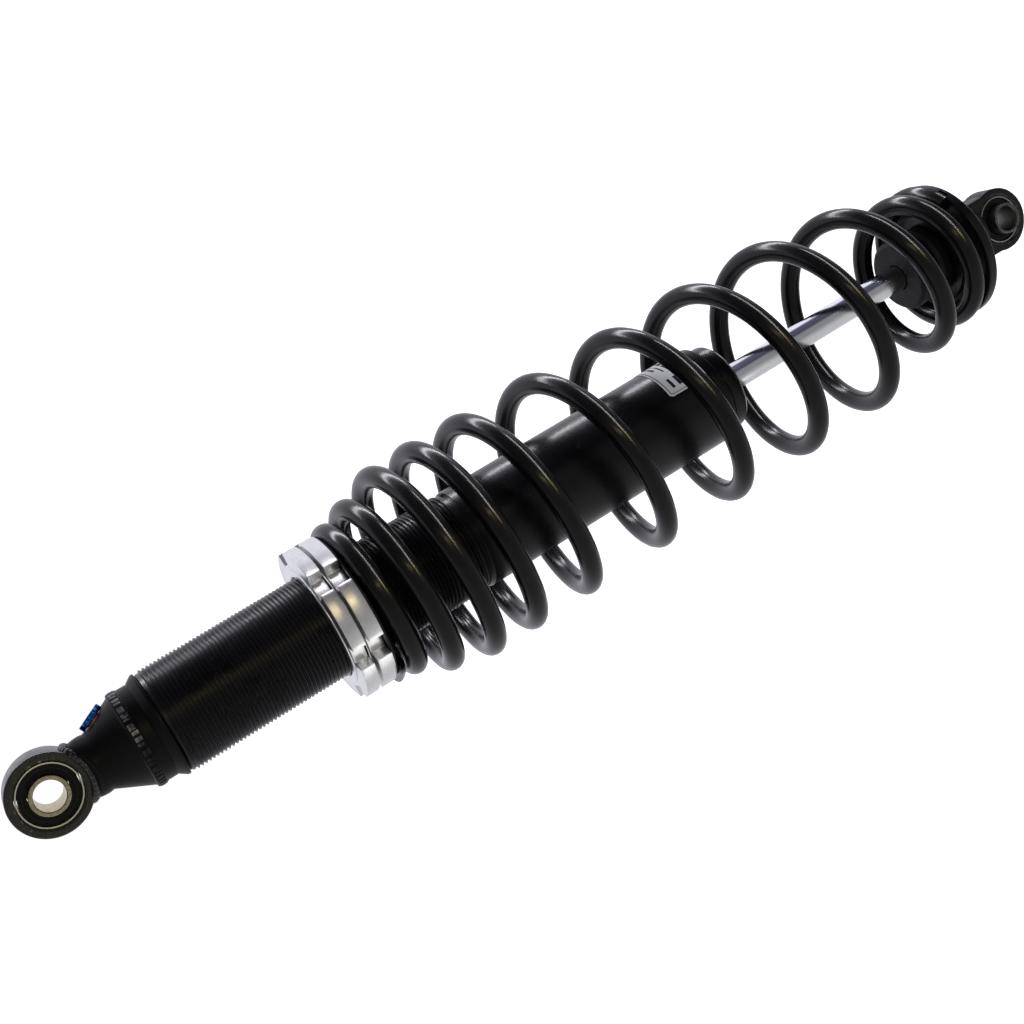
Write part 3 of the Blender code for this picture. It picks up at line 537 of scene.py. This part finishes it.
def make_end_cap():
    """The cap's cone, band and collar, whose neck follows the round of the eye ring."""
    steps = LARGE
    outline = soft(
        [
            (NECK_R, NECK_TOP, 0.0),
            (22.3, -40.5, 0.8),
            (23.7, -41.0, 0.4),
            (23.7, -45.5, 0.3),
            (23.3, -45.9, 0.1),
            (23.3, -50.4, 0.1),
            (23.1, -50.7, 0.1),
            (23.4, -51.0, 0.8),
            (25.9, -54.6, 0.8),
            (25.9, -55.8, 0.2),
            (22.6, -56.0, 0.0),
            (22.6, -72.0, 0.4),
            (12.0, -72.0, 0.2),
            (12.0, -44.0, 0.0),
            (0.0, -44.0, 0.0),
        ],
        4,
    )
    verts = []
    top_rows = 12
    for row in range(top_rows):
        t = row / top_rows
        for k in range(steps):
            angle = 2.0 * pi * k / steps
            start = seam_point(angle)
            bulge = NECK_R + 1.0
            rim = Vector((bulge * cos(angle), bulge * sin(angle), -21.2))
            rim.z = min(rim.z, start.z - 0.8)
            neck = Vector((NECK_R * cos(angle), NECK_R * sin(angle), NECK_TOP + 0.3))
            spot = start * (1 - t) ** 2 + rim * 2 * t * (1 - t) + neck * t * t
            verts.append(spot * MM)
    for radius, height in outline:
        for k in range(steps):
            angle = 2.0 * pi * k / steps
            verts.append(Vector((radius * cos(angle), radius * sin(angle), height)) * MM)
    rows = top_rows + len(outline)
    faces = grid_faces(rows, steps, False, True)
    verts.append(Vector((0.0, 0.0, -18.5)) * MM)
    hub = len(verts) - 1
    for k in range(steps):
        faces.append((hub, (k + 1) % steps, k))
    cap = new_object("end_cap", verts, faces)
    matrix = adjuster_matrix()
    pocket = solid_of_turn(
        "pocket", [(0.0, -15.0), (2.0, -15.0), (2.0, -2.8), (7.2, -2.8), (7.2, 8.0), (0.0, 8.0)], matrix
    )
    spin = Matrix.Rotation(radians(115.0), 4, "Z")
    side = spin @ Matrix.Translation((0.0, 0.0, -48.2 * MM)) @ Matrix.Rotation(radians(90.0), 4, "Y")
    hole = solid_of_turn(
        "plug_hole", [(0.0, 17.0), (3.3, 17.0), (3.3, 23.0), (3.7, 23.6), (3.7, 30.0), (0.0, 30.0)], side
    )
    boolean(cap, [pocket, hole])
    place(cap, "body", "black_cap", "cap_black", "upper_end_cap")
    plug = solid_of_turn(
        "gas_plug",
        [(0.0, 17.3), (3.0, 17.3), (3.0, 23.5), (2.8, 23.8), (1.7, 23.8), (1.6, 21.4), (0.0, 21.0)],
        side,
        48,
    )
    place(plug, "body", "bare_steel", "bare_steel", "gas_fill_plug")
    o_ring("cap_oring", 21.8, 0.8, -64.2, "end_cap_oring", "body")


def make_band_marks():
    """Plain raised bars around the cap's band, where the real one is stamped, with a painted highlight of
    lighter edges on the side that faces the light.
    """
    widths = (1.8, 3.0, 1.1, 2.4, 3.3, 1.4, 2.1)
    highlit, plain = [], []
    angle = -pi
    k = 0
    while angle < pi - 0.06:
        width = widths[k % len(widths)]
        low = BAND_END + (0.5 if k % 3 == 0 else 0.0)
        half = width / 2.0
        spin = Matrix.Rotation(angle, 4, "Z")
        # Marks between these angles face the light and get lighter edges as a painted highlight; the rest
        # stay plain black.
        marks = highlit if radians(-88.0) < angle < radians(100.0) else plain
        outline = [(BAND_R, -half), (24.0, -half), (24.0, half), (BAND_R, half)]
        marks.append(prism(f"mark{k}", outline, low, BAND_TOP, 0.14, spin, segments=1))
        if k % 2 == 0:
            thin = half * 0.45
            inner = [(BAND_R, -thin), (24.1, -thin), (24.1, thin), (BAND_R, thin)]
            marks.append(prism(f"mark_in{k}", inner, low + 1.0, BAND_TOP - 0.9, 0.12, spin, segments=1))
        angle += (width + 1.1) / 23.7
        k += 1
    place(join("band_marks", highlit), "body", "black_cap", "mark_black")
    place(join("band_marks_far", plain), "body", "black_cap", "cap_black")


def make_adjuster():
    """The fluted knob with a screwdriver slot, and its O-ring."""
    matrix = adjuster_matrix()
    low = -0.8
    steps = 160
    outline = []
    for k in range(steps):
        a = 2.0 * pi * k / steps
        lobe = abs(cos(3.0 * a)) ** 2.0
        outline.append(((6.6 - 1.2 * lobe) * cos(a), (6.6 - 1.2 * lobe) * sin(a)))
    knob = prism("knob", outline, low, low + 2.9, 0.45, matrix, 50.0, 3)
    slot_outline = [(-3.6, -0.55), (3.6, -0.55), (3.6, 0.55), (-3.6, 0.55)]
    slot_cut = prism("slot_cut", slot_outline, low + 2.0, low + 4.0, 0.0, matrix)
    boolean(knob, [slot_cut], edge_angle=50.0)
    place(knob, "adjuster", "blue_anodised", "blue_anodised", "adjuster_knob")
    ring_r, wire = 5.5, 0.85
    outline = []
    for k in range(16):
        a = 2.0 * pi * k / 16
        outline.append((ring_r + wire * cos(a), -1.8 + wire * sin(a)))
    seal = turned("knob_oring", outline, SMALL)
    seal.data.transform(matrix)
    place(seal, "body", "orange_rubber", "orange_rubber", "adjuster_oring")


def o_ring(name, ring_r, wire, z, node, body):
    outline = []
    for k in range(16):
        a = 2.0 * pi * k / 16
        outline.append((ring_r + wire * cos(a), z + wire * sin(a)))
    place(turned(name, outline, MEDIUM), body, "rubber", "rubber", node)


# ------------------------------------------------------------------ body
def make_body_tube():
    """The tube with its thread's root turned down, and the thread wound on it as a solid ridge."""
    root = THREAD_ROOT
    outline = soft(
        [
            (TUBE_BORE, -56.1, 0.0), (24.4, -56.1, 0.2), (root, -56.8, 0.0), (root, -219.6, 0.3),
            (25.2, -220.0, 0.3), (TUBE_R, -221.6, 0.9), (TUBE_R, -371.9, 0.5), (TUBE_BORE, -371.9, 0.2),
        ],
        4,
    )
    tube = turned("body_tube_shell", outline, 160)
    place(tube, "body", "black_tube", "tube_black", "body_tube")
    per_turn = 96
    turns = (THREAD_TOP - THREAD_END) / THREAD_PITCH
    total = int(turns * per_turn)
    section = [(-0.15, -0.86), (0.0, -0.82), (0.85, -0.30), (1.02, -0.16), (1.02, 0.16), (0.85, 0.30),
               (0.0, 0.82), (-0.15, 0.86)]
    verts = []
    for k in range(total + 1):
        turn = k / per_turn
        angle = -2.0 * pi * turn
        fade = min(1.0, turn / 0.8, (turns - turn) / 0.8)
        fade = max(fade, 0.02)
        z = THREAD_TOP - THREAD_PITCH * turn
        for out, along in section:
            r = (root + out * fade if out > 0.0 else root + out) * MM
            verts.append((r * cos(angle), r * sin(angle), (z - along) * MM))
    count = len(section)
    faces = grid_faces(total + 1, count, False, True)
    faces.append(tuple(range(count)))
    faces.append(tuple(range(len(verts) - count, len(verts))))
    thread = new_object("body_thread", verts, faces, 50.0)
    place(thread, "body", "black_tube", "thread_black")


def patch(name, from_angle, to_angle, top, end, corner, inner, outer, body, slot, look, *nodes):
    """A rounded rectangle wrapped on the tube, as a thin closed shell."""
    rows = 26
    columns = 40
    heights = [top - (top - end) * (0.5 - 0.5 * cos(pi * k / (rows - 1))) for k in range(rows)]
    verts = []
    for radius in (inner, outer):
        for z in heights:
            near = min(top - z, z - end)
            inset = 0.0
            if near < corner:
                inset = corner - sqrt(max(corner ** 2 - (corner - near) ** 2, 0.0))
            trim = inset / outer
            for j in range(columns):
                a = from_angle + trim + (to_angle - from_angle - 2.0 * trim) * j / (columns - 1)
                verts.append((radius * MM * cos(a), radius * MM * sin(a), z * MM))
    faces = grid_faces(rows, columns, False, False)
    size = rows * columns
    faces += grid_faces(rows, columns, False, False, size)
    border = [j for j in range(columns)]
    border += [i * columns + columns - 1 for i in range(1, rows)]
    border += [(rows - 1) * columns + j for j in range(columns - 2, -1, -1)]
    border += [i * columns for i in range(rows - 2, 0, -1)]
    for here, there in zip(border, border[1:] + border[:1]):
        faces.append((here, there, there + size, here + size))
    obj = new_object(name, verts, faces, 50.0)
    return place(obj, body, slot, look, *nodes)


def make_label():
    """A foil label with a white border, a grey field and plain bars in place of print."""
    start, stop = radians(-60.0), radians(25.0)
    edge = 1.3 / TUBE_R
    patch("label", start, stop, -342.6, -366.0, 2.2, 26.03, 26.20, "body", "label_foil", "label_white",
          "body_label")
    patch("label_line", start + edge * 0.75, stop - edge * 0.75, -343.6, -365.0, 1.6, 26.19, 26.23,
          "body", "label_foil", "label_ink")
    patch("label_field", start + edge, stop - edge, -344.0, -364.6, 1.4, 26.22, 26.27, "body",
          "label_foil", "label_grey")
    bars = []
    rows = ((-347.0, 1.6, (0.10, 0.46)), (-350.2, 1.0, (0.10, 0.30)), (-350.2, 1.0, (0.34, 0.58)),
            (-353.0, 2.6, (0.10, 0.22)), (-353.0, 2.6, (0.26, 0.38)), (-353.0, 2.6, (0.42, 0.66)),
            (-358.4, 1.0, (0.10, 0.52)), (-361.0, 1.0, (0.10, 0.40)), (-347.0, 1.6, (0.74, 0.90)),
            (-351.0, 9.0, (0.74, 0.90)))
    for k, (top, height, (low, high)) in enumerate(rows):
        a = stop + (start - stop) * high
        b = stop + (start - stop) * low
        bars.append(patch(f"bar{k}", a, b, top, top - height, 0.2, 26.26, 26.30, "body", "label_foil",
                          "label_ink"))
    place(join("label_bars", bars), "body", "label_foil", "label_ink")


def make_seal_head():
    """The black cap with its pin holes, the wiper and the hidden O-rings."""
    outline = soft(
        [
            (7.6, -372.3, 0.0), (7.6, -376.0, 0.0), (11.5, -376.0, 0.0), (11.5, -382.5, 0.3),
            (21.0, -382.5, 1.0), (23.0, -380.4, 1.2), (23.0, -374.2, 0.2), (22.5, -373.9, 0.2),
            (22.5, -372.9, 0.2), (23.0, -372.6, 0.1), (23.0, -372.3, 0.1),
        ],
        4,
    )
    cap = turned("seal_cap", outline, LARGE)
    holes = []
    for k in range(3):
        a = radians(40.0 + 120.0 * k)
        spin = Matrix.Translation((17.0 * MM * cos(a), 17.0 * MM * sin(a), 0.0))
        outline = [(0.0, -385.0), (1.5, -385.0), (1.5, -379.5), (0.0, -379.5)]
        holes.append(solid_of_turn(f"pin_hole{k}", outline, spin, 32))
    boolean(cap, holes)
    place(cap, "body", "seal_cap_black", "seal_cap_black", "seal_head_cap")
    outline = soft(
        [
            (7.35, -376.3, 0.0), (7.35, -383.6, 0.1), (7.9, -383.9, 0.1), (9.0, -382.7, 0.3),
            (9.9, -382.2, 0.3), (10.4, -383.1, 0.2), (11.1, -383.0, 0.2), (11.3, -381.5, 0.2),
            (11.3, -376.3, 0.0),
        ],
        3,
    )
    place(turned("wiper", outline, MEDIUM), "body", "rubber", "rubber", "wiper_seal")
    o_ring("head_oring", 21.8, 0.8, -354.7, "seal_head_oring", "body")
    o_ring("float_oring", 21.8, 0.8, -119.7, "floating_piston_oring", "gas_piston")


# ------------------------------------------------------------------ preload rings
def lug_outline(outer, floor):
    """Six lugs with square notches between them, as (x, y) in millimetres."""
    points = []
    pitch = 2.0 * pi / 6
    lug = radians(44.0)
    for k in range(6):
        middle = radians(-80.0) + k * pitch
        for step in range(15):
            a = middle + lug * (step / 14 - 0.5)
            points.append((outer * cos(a), outer * sin(a)))
        gap = pitch - lug
        for step in range(5):
            a = middle + lug / 2.0 + gap * step / 4
            points.append((floor * cos(a), floor * sin(a)))
    return points


def make_notched_ring(name, node, body, top, end):
    """A ring with chamfered lugs and a slightly raised face around its threaded bore."""
    ring = prism(name, lug_outline(39.2, 32.8), end, top - 0.5, 0.55, segments=2)
    hub = turned(
        "hub",
        soft([(20.0, end + 0.05, 0.0), (30.6, end + 0.05, 0.3), (30.6, top, 0.35), (20.0, top, 0.0)], 3),
        LARGE,
    )
    boolean(ring, [hub], "UNION")
    bore = solid_of_turn(
        "bore",
        [(0.0, top + 2.0), (28.4, top + 2.0), (26.35, top - 0.9), (26.35, end + 0.9), (28.4, end - 2.0),
         (0.0, end - 2.0)],
        Matrix.Identity(4),
        LARGE,
    )
    boolean(ring, [bore], edge_angle=35.0)
    place(ring, body, "ring_aluminium", "ring_aluminium", node)


def make_rings():
    make_notched_ring("lock_ring_body", "lock_ring", "lock", -139.7, -147.2)
    make_notched_ring("collar_body", "preload_collar", "collar", -148.3, -156.5)
    outline = soft(
        [(26.4, -158.0, 0.2), (37.5, -158.0, 0.4), (37.5, -156.8, 0.4), (26.4, -156.8, 0.2)], 3
    )
    place(turned("seat_washer", outline, LARGE), "seat", "black_steel", "seat_black", "spring_seat")


# ------------------------------------------------------------------ coil spring
# Close wound at the top, open below, with a barrel shape and two narrow closed ends.
WIRE = 5.4
CLOSED_PITCH = 11.5
COIL_AZIMUTH = radians(13.3)
FIRST_TURN = 0.42
SPLIT_TURN = 3.75
LAST_TURN = 12.15
FIRST_DEPTH = 156.6
PITCH = (
    (0.42, 10.4), (1.0, 11.2), (2.0, 16.0), (3.0, 21.0), (4.5, 26.0), (6.0, 48.2), (10.3, 50.0),
    (11.2, 15.0), (12.15, 7.5),
)
COIL_TOP_R = 36.3
COIL_BARREL_R = 50.0
COIL_END_R = 35.0
WIDENS = (1.0, 3.4)
NARROWS = (9.4, 11.2)
LEAN = ((0.42, -0.9), (4.5, -0.3), (8.5, 2.9), (10.0, 1.8), (12.15, 0.9))
SPRING_TOP = -158.3
SPRING_END = -537.6


def along(knots, turn):
    """The value at a turn on the straight lines between knots."""
    for (low, here), (high, there) in zip(knots, knots[1:]):
        if turn <= high:
            return here + (there - here) * (turn - low) / (high - low)
    return knots[-1][1]


def climb(knots, turn):
    """The depth gained from the first knot to a turn, which is the area under the pitch."""
    total = 0.0
    for (low, here), (high, _) in zip(knots, knots[1:]):
        if turn > low:
            stop = min(turn, high)
            total += (here + along(knots, stop)) / 2.0 * (stop - low)
    return total


def ease(turn, span):
    """From 0 before the span of turns to 1 after it, without a kink."""
    t = min(max((turn - span[0]) / (span[1] - span[0]), 0.0), 1.0)
    return t * t * (3.0 - 2.0 * t)


def spring_center(turn):
    """Depth, mean radius and lean of the wire's centre at a turn."""
    depth = FIRST_DEPTH + climb(PITCH, turn)
    radius = COIL_TOP_R + (COIL_BARREL_R - COIL_TOP_R) * ease(turn, WIDENS)
    radius -= (COIL_BARREL_R - COIL_END_R) * ease(turn, NARROWS)
    return depth, radius, along(LEAN, turn)


def slack(turn, low, high, closed):
    """How much of the travel the turns from low up to this one take up, from 0 to 1."""
    steps = 200
    total = 0.0
    part = 0.0
    for k in range(steps):
        here = low + (high - low) * (k + 0.5) / steps
        pitch = along(PITCH, here)
        room = max(pitch - closed, 0.0)
        total += room
        if here <= turn:
            part += room
    return part / total


def make_spring_part(name, first, final, moving):
    """Part of the coil, a round wire swept along the helix from one turn to another; each vertex's share
    of the travel, from the gaps between the moving turns, is worked out but not kept.
    """
    per_turn = 80
    sides = 20
    steps = int(round((final - first) * per_turn))
    verts, weights = [], []
    samples = np.linspace(first, final, 61)
    table = [slack(turn, moving[0], moving[1], CLOSED_PITCH) for turn in samples]
    for k in range(steps + 1):
        turn = first + (final - first) * k / steps
        depth, radius, lean = spring_center(turn)
        depth += lean * sin(2.0 * pi * turn)
        angle = COIL_AZIMUTH - 2.0 * pi * turn
        outward = Vector((cos(angle), sin(angle), 0.0))
        share = float(np.interp(turn, samples, table))
        for side in range(sides):
            a = 2.0 * pi * (side + 0.5) / sides
            spot = outward * (radius + WIRE * cos(a)) + Vector((0.0, 0.0, WIRE * sin(a) - depth))
            spot.z = min(max(spot.z, SPRING_END), SPRING_TOP)
            verts.append(spot * MM)
            weights.append(share)
    faces = grid_faces(steps + 1, sides, False, True)
    faces.append(tuple(range(sides)))
    faces.append(tuple(range(len(verts) - sides, len(verts))))
    obj = new_object(name, verts, faces, 60.0)
    obj.data.materials.append(LOOKS["spring_black"])
    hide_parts("coil_spring")
    points = np.array([v.co for v in obj.data.vertices])
    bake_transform(obj)
    planned = np.array([tuple(v) for v in verts])
    share_at = {tuple(np.round(p, 8)): w for p, w in zip(planned, weights)}
    values = [share_at.get(tuple(np.round(p, 8))) for p in points]
    for k, value in enumerate(values):
        if value is None:
            values[k] = weights[int(np.argmin(((planned - points[k]) ** 2).sum(axis=1)))]


def make_spring():
    make_spring_part("spring_upper", FIRST_TURN, SPLIT_TURN, (1.0, SPLIT_TURN))
    make_spring_part("spring_lower", SPLIT_TURN, LAST_TURN, (SPLIT_TURN, 11.1))


# ------------------------------------------------------------------ rod end
def make_rod():
    """The chromed rod with a thinner end for the piston and another for the eye."""
    outline = soft(
        [
            (0.0, -560.0, 0.0), (6.0, -560.0, 0.3), (6.0, -536.2, 0.0), (7.0, -536.2, 0.1),
            (7.0, -329.0, 0.3), (5.0, -329.0, 0.0), (5.0, -296.0, 0.5), (0.0, -296.0, 0.0),
        ],
        3,
    )
    rod = solid_of_turn("rod", outline[::-1], Matrix.Identity(4), MEDIUM)
    place(rod, "shaft", "rod_chrome", "rod_chrome", "piston_rod")


def make_retainer():
    """The stepped plate under the coil, with a blind notch in its rim."""
    outline = soft(
        [
            (12.3, -548.0, 0.3), (22.0, -548.0, 0.8), (34.0, -544.2, 2.0), (38.6, -543.4, 1.2),
            (38.6, -537.9, 0.8), (28.5, -537.9, 0.6), (28.5, -533.5, 0.6), (25.5, -533.5, 0.5),
            (25.5, -531.0, 0.5), (18.2, -531.0, 0.5), (18.2, -536.5, 0.3), (12.3, -536.5, 0.3),
        ],
        4,
    )
    plate = turned("retainer", outline, 160)
    half = 3.2
    frame_matrix = Matrix.Rotation(radians(-33.0), 4, "Z")
    corners = [(33.0, -half), (60.0, -half), (60.0, half), (33.0, half)]
    slot_cut = prism("slot_cut", corners, -541.2, -520.0, 0.0, frame_matrix)
    boolean(plate, [slot_cut])
    place(plate, "retainer", "black_steel", "retainer_black", "lower_spring_retainer")


def make_bump_stop():
    outline = soft(
        [
            (7.3, -534.5, 0.2), (17.5, -534.5, 0.6), (17.5, -530.4, 0.2), (19.6, -530.2, 0.8),
            (19.6, -525.0, 0.8), (18.4, -522.6, 1.2), (19.6, -520.0, 0.8), (19.6, -510.4, 1.6),
            (17.8, -508.4, 1.0), (7.3, -508.4, 0.4),
        ],
        5,
    )
    place(turned("bump_rubber", outline, LARGE), "shaft", "rubber", "bump_rubber", "bump_stop")
    outline = soft(
        [(7.3, -536.1, 0.1), (17.0, -536.1, 0.3), (17.0, -534.8, 0.3), (7.3, -534.8, 0.1)], 3
    )
    washer = turned("stop_washer", outline, LARGE)
    place(washer, "shaft", "bare_steel", "bare_steel", "bump_stop_washer")


def make_lower_mount():
    """A forging: a neck that flows into a flat web and the eye, with the bores cut after."""
    center = -EYE_TO_EYE
    neck = solid_of_turn(
        "forging",
        [(0.0, -574.0), (7.0, -574.0), (13.0, -566.0), (16.2, -561.0), (16.5, -558.0), (16.5, -549.0),
         (16.0, -548.5), (12.0, -548.4), (12.0, -536.6), (0.0, -536.6)],
        Matrix.Identity(4),
        SMALL,
    )
    half = 7.5
    web = prism("web", [(-16.4, -half), (16.4, -half), (16.4, half), (-16.4, half)], center, -560.5, 0.0)
    outline = [(0.0, -half), (LOWER_EYE, -half), (LOWER_EYE, half), (0.0, half)]
    turn = Matrix.Translation((0.0, 0.0, center * MM)) @ Matrix.Rotation(radians(90.0), 4, "X")
    eye = solid_of_turn("eye", outline, turn, MEDIUM)
    boolean(neck, [web, eye], "UNION")
    remesh = neck.modifiers.new("Remesh", "REMESH")
    remesh.mode = "VOXEL"
    remesh.voxel_size = 0.0006
    smooth = neck.modifiers.new("Smooth", "SMOOTH")
    smooth.iterations = 6
    smooth.factor = 0.5
    apply_modifiers(neck)
    bore = solid_of_turn(
        "bore",
        [(0.0, -20.0), (14.2, -20.0), (14.2, -half), (13.1, 0.9 - half), (13.1, half - 0.9),
         (14.2, half), (14.2, 20.0), (0.0, 20.0)],
        turn,
        LARGE,
    )
    outline = [(0.0, -561.0), (6.3, -561.0), (6.3, -530.0), (0.0, -530.0)]
    socket = solid_of_turn("socket", outline, Matrix.Identity(4), SMALL)
    boolean(neck, [bore, socket], edge_angle=40.0)
    place(neck, "shaft", "black_cap", "forged_black", "lower_eye_mount")
    bush("lower", "shaft", "lower_sleeve", center, (12.8, 12.05, 7.0), (11.7, 8.6, 6.8, 1.2),
         (8.3, 6.5, 13.0, 0.5), "zinc_lower")


# ------------------------------------------------------------------ inside and stage
CAD_LOOKS = {
    "bare_aluminium": ("seal_head", "floating_piston", "piston"),
    "bare_steel": (
        "seal_head_circlip", "piston_nut", "top_out_plate", "adjuster_needle", "compression_shim_1",
        "compression_shim_2", "compression_shim_3", "rebound_shim_1", "rebound_shim_2", "rebound_shim_3",
    ),
    "rubber": ("rod_seal", "top_out_bumper"),
    "bronze": ("rod_guide_bush",),
    "band_plastic": ("piston_band",),
}


def finish_inner_parts():
    for look, nodes in CAD_LOOKS.items():
        for node in nodes:
            mesh = frame["nodes"][node].data
            mesh.materials.clear()
            mesh.materials.append(LOOKS[look])


def make_camera():
    """The main view: tilted down the object, swung a touch aside and rolled."""
    camera = bpy.data.cameras.new("camera")
    camera.sensor_width = 36.0
    camera.lens = CAMERA_LENS
    camera.clip_start = 0.01
    obj = bpy.data.objects.new("camera", camera)
    forward = sin(VIEW_TILT) * DOWN - sin(VIEW_SWING) * ASIDE - cos(VIEW_TILT) * TOWARD_CAMERA
    forward.normalize()
    level = ASIDE.cross(forward).normalized()
    across = forward.cross(level)
    right = cos(VIEW_ROLL) * level + sin(VIEW_ROLL) * across
    up = right.cross(forward)
    spot = (CAMERA_DEPTH * DOWN + CAMERA_ASIDE * ASIDE + CAMERA_DISTANCE * TOWARD_CAMERA) * MM
    basis = Matrix((right, up, -forward)).transposed()
    obj.matrix_world = Matrix.Translation(spot) @ basis.to_4x4()
    bpy.context.scene.collection.objects.link(obj)
    bpy.context.scene.camera = obj


def around(angle, distance, z):
    """A point at an angle from the camera's side, turning towards the picture's upper left."""
    turn = radians(angle)
    side = TOWARD_CAMERA * cos(turn) - ASIDE * sin(turn)
    return side * distance + Vector((0.0, 0.0, z))


def strip_light(name, angle, distance, z, width, height, power, color, aim_z=None):
    """An area light in metres and watts that faces the object's axis and isn't seen itself."""
    light = bpy.data.lights.new(name, "AREA")
    light.shape = "RECTANGLE"
    light.size = width
    light.size_y = height
    light.energy = power
    light.color = color
    obj = bpy.data.objects.new(name, light)
    spot = around(angle, distance, z)
    target = Vector((0.0, 0.0, z if aim_z is None else aim_z))
    obj.matrix_world = Matrix.Translation(spot) @ (
        (target - spot).to_track_quat("-Z", "Y").to_matrix().to_4x4()
    )
    obj.visible_camera = False
    bpy.context.scene.collection.objects.link(obj)
    return obj


def make_world():
    """White to the camera; a soft studio with one dark side to everything that mirrors it."""
    world = bpy.data.worlds.new("studio")
    bpy.context.scene.world = world
    world.use_nodes = True
    tree = world.node_tree
    tree.nodes.clear()
    out = tree.nodes.new("ShaderNodeOutputWorld")
    coordinates = tree.nodes.new("ShaderNodeTexCoord")
    split = tree.nodes.new("ShaderNodeSeparateXYZ")
    tree.links.new(coordinates.outputs["Generated"], split.inputs[0])

    def math(operation, a, b=0.0):
        node = tree.nodes.new("ShaderNodeMath")
        node.operation = operation
        for socket, value in zip(node.inputs, (a, b)):
            if isinstance(value, (int, float)):
                socket.default_value = value
            else:
                tree.links.new(value, socket)
        return node.outputs[0]

    heading = math("ARCTAN2", split.outputs["Y"], split.outputs["X"])
    turned_heading = math("ADD", heading, radians(75.5) + pi)
    share = math("DIVIDE", math("FLOORED_MODULO", turned_heading, 2.0 * pi), 2.0 * pi)
    ramp = tree.nodes.new("ShaderNodeValToRGB")
    tree.links.new(share, ramp.inputs[0])
    stops = (
        (-180, (0.86, 0.86, 0.95)), (-120, (0.55, 0.55, 0.58)), (-60, (0.52, 0.52, 0.52)),
        (-20, (0.26, 0.26, 0.27)), (16, (0.24, 0.24, 0.26)), (28, (0.07, 0.07, 0.10)),
        (80, (0.09, 0.09, 0.14)), (98, (0.92, 0.92, 1.04)), (180, (0.86, 0.86, 0.95)),
    )
    elements = ramp.color_ramp.elements
    while len(elements) > 1:
        elements.remove(elements[-1])
    elements[0].position = 0.0
    elements[0].color = (*stops[0][1], 1.0)
    for angle, color in stops[1:]:
        element = elements.new((angle + 180.0) / 360.0)
        element.color = (*color, 1.0)
    studio = tree.nodes.new("ShaderNodeBackground")
    tree.links.new(ramp.outputs["Color"], studio.inputs["Color"])
    studio.inputs["Strength"].default_value = 1.0
    white = tree.nodes.new("ShaderNodeBackground")
    white.inputs["Color"].default_value = (1.0, 1.0, 1.0, 1.0)
    white.inputs["Strength"].default_value = 1.05
    path = tree.nodes.new("ShaderNodeLightPath")
    mix = tree.nodes.new("ShaderNodeMixShader")
    tree.links.new(path.outputs["Is Camera Ray"], mix.inputs[0])
    tree.links.new(studio.outputs[0], mix.inputs[1])
    tree.links.new(white.outputs[0], mix.inputs[2])
    tree.links.new(mix.outputs[0], out.inputs["Surface"])


def make_floor():
    """A plain white floor, left out of reflections and bounced light."""
    mesh = bpy.data.meshes.new("floor")
    size = 12.0
    z = -1.0
    corners = [(-size, -size, z), (size, -size, z), (size, size, z), (-size, size, z)]
    mesh.from_pydata(corners, [], [(0, 1, 2, 3)])
    floor = bpy.data.objects.new("floor", mesh)
    material = bpy.data.materials.new("floor_white")
    material.use_nodes = True
    shader = material.node_tree.nodes["Principled BSDF"]
    shader.inputs["Base Color"].default_value = (0.85, 0.85, 0.85, 1.0)
    shader.inputs["Roughness"].default_value = 0.9
    shader.inputs["Emission Color"].default_value = (1.0, 1.0, 1.0, 1.0)
    shader.inputs["Emission Strength"].default_value = 1.0
    mesh.materials.append(material)
    bpy.context.scene.collection.objects.link(floor)
    floor.visible_glossy = False
    floor.visible_diffuse = False


def make_stage():
    """Camera, world, floor and lights, most of which shine only on the pieces linked to their group."""
    make_camera()
    make_world()
    make_floor()
    back = strip_light("strip_back", 106.0, 0.9, -0.30, 0.10, 1.3, 9.0, (0.94, 0.94, 1.0))
    strip_light("strip_warm", 8.0, 1.1, -0.10, 0.06, 0.6, 0.8, (1.0, 0.80, 0.40))
    coil_front = strip_light("coil_front", 44.0, 0.85, -0.82, 1.1, 0.09, 9.0, (1.0, 1.0, 1.0), -0.3)
    coil_warm = strip_light("coil_warm", 6.0, 0.85, -0.80, 0.22, 0.06, 1.2, (1.0, 0.78, 0.25), -0.3)
    bright_side = strip_light("bright_side", -75.0, 0.9, -0.40, 0.8, 0.8, 1.6, (1.0, 1.0, 1.0))
    bright_front = strip_light("bright_front", 62.0, 1.0, -0.35, 0.3, 0.7, 2.6, (0.97, 0.97, 1.0))
    groups = (
        ("coil", (coil_front, coil_warm)),
        ("black", (back,)),
        ("bright", (bright_side, bright_front)),
    )
    for name, lights in groups:
        receivers = bpy.data.collections.new(name + "_receivers")
        bpy.context.scene.collection.children.link(receivers)
        for light in lights:
            light.light_linking.receiver_collection = receivers
    view = bpy.context.scene.view_settings
    view.view_transform = "Standard"
    view.look = "None"


RECEIVERS = {
    "coil": ("spring_upper", "spring_lower"),
    "black": ("spring_upper", "spring_lower", "body_tube_shell", "body_thread", "seal_cap", "eye_ring"),
    "bright": ("rod", "label", "label_field", "lock_ring_body", "collar_body"),
}


def link_lights():
    """Names the pieces that each group of narrow lights shines on."""
    for group, names in RECEIVERS.items():
        for name in names:
            bpy.data.collections[group + "_receivers"].objects.link(bpy.data.objects[name])


make_stage()
make_upper_eye()
make_end_cap()
make_weld()
make_band_marks()
make_adjuster()
make_body_tube()
make_label()
make_seal_head()
make_rings()
make_spring()
make_rod()
make_retainer()
make_bump_stop()
make_lower_mount()
finish_inner_parts()
link_lights()
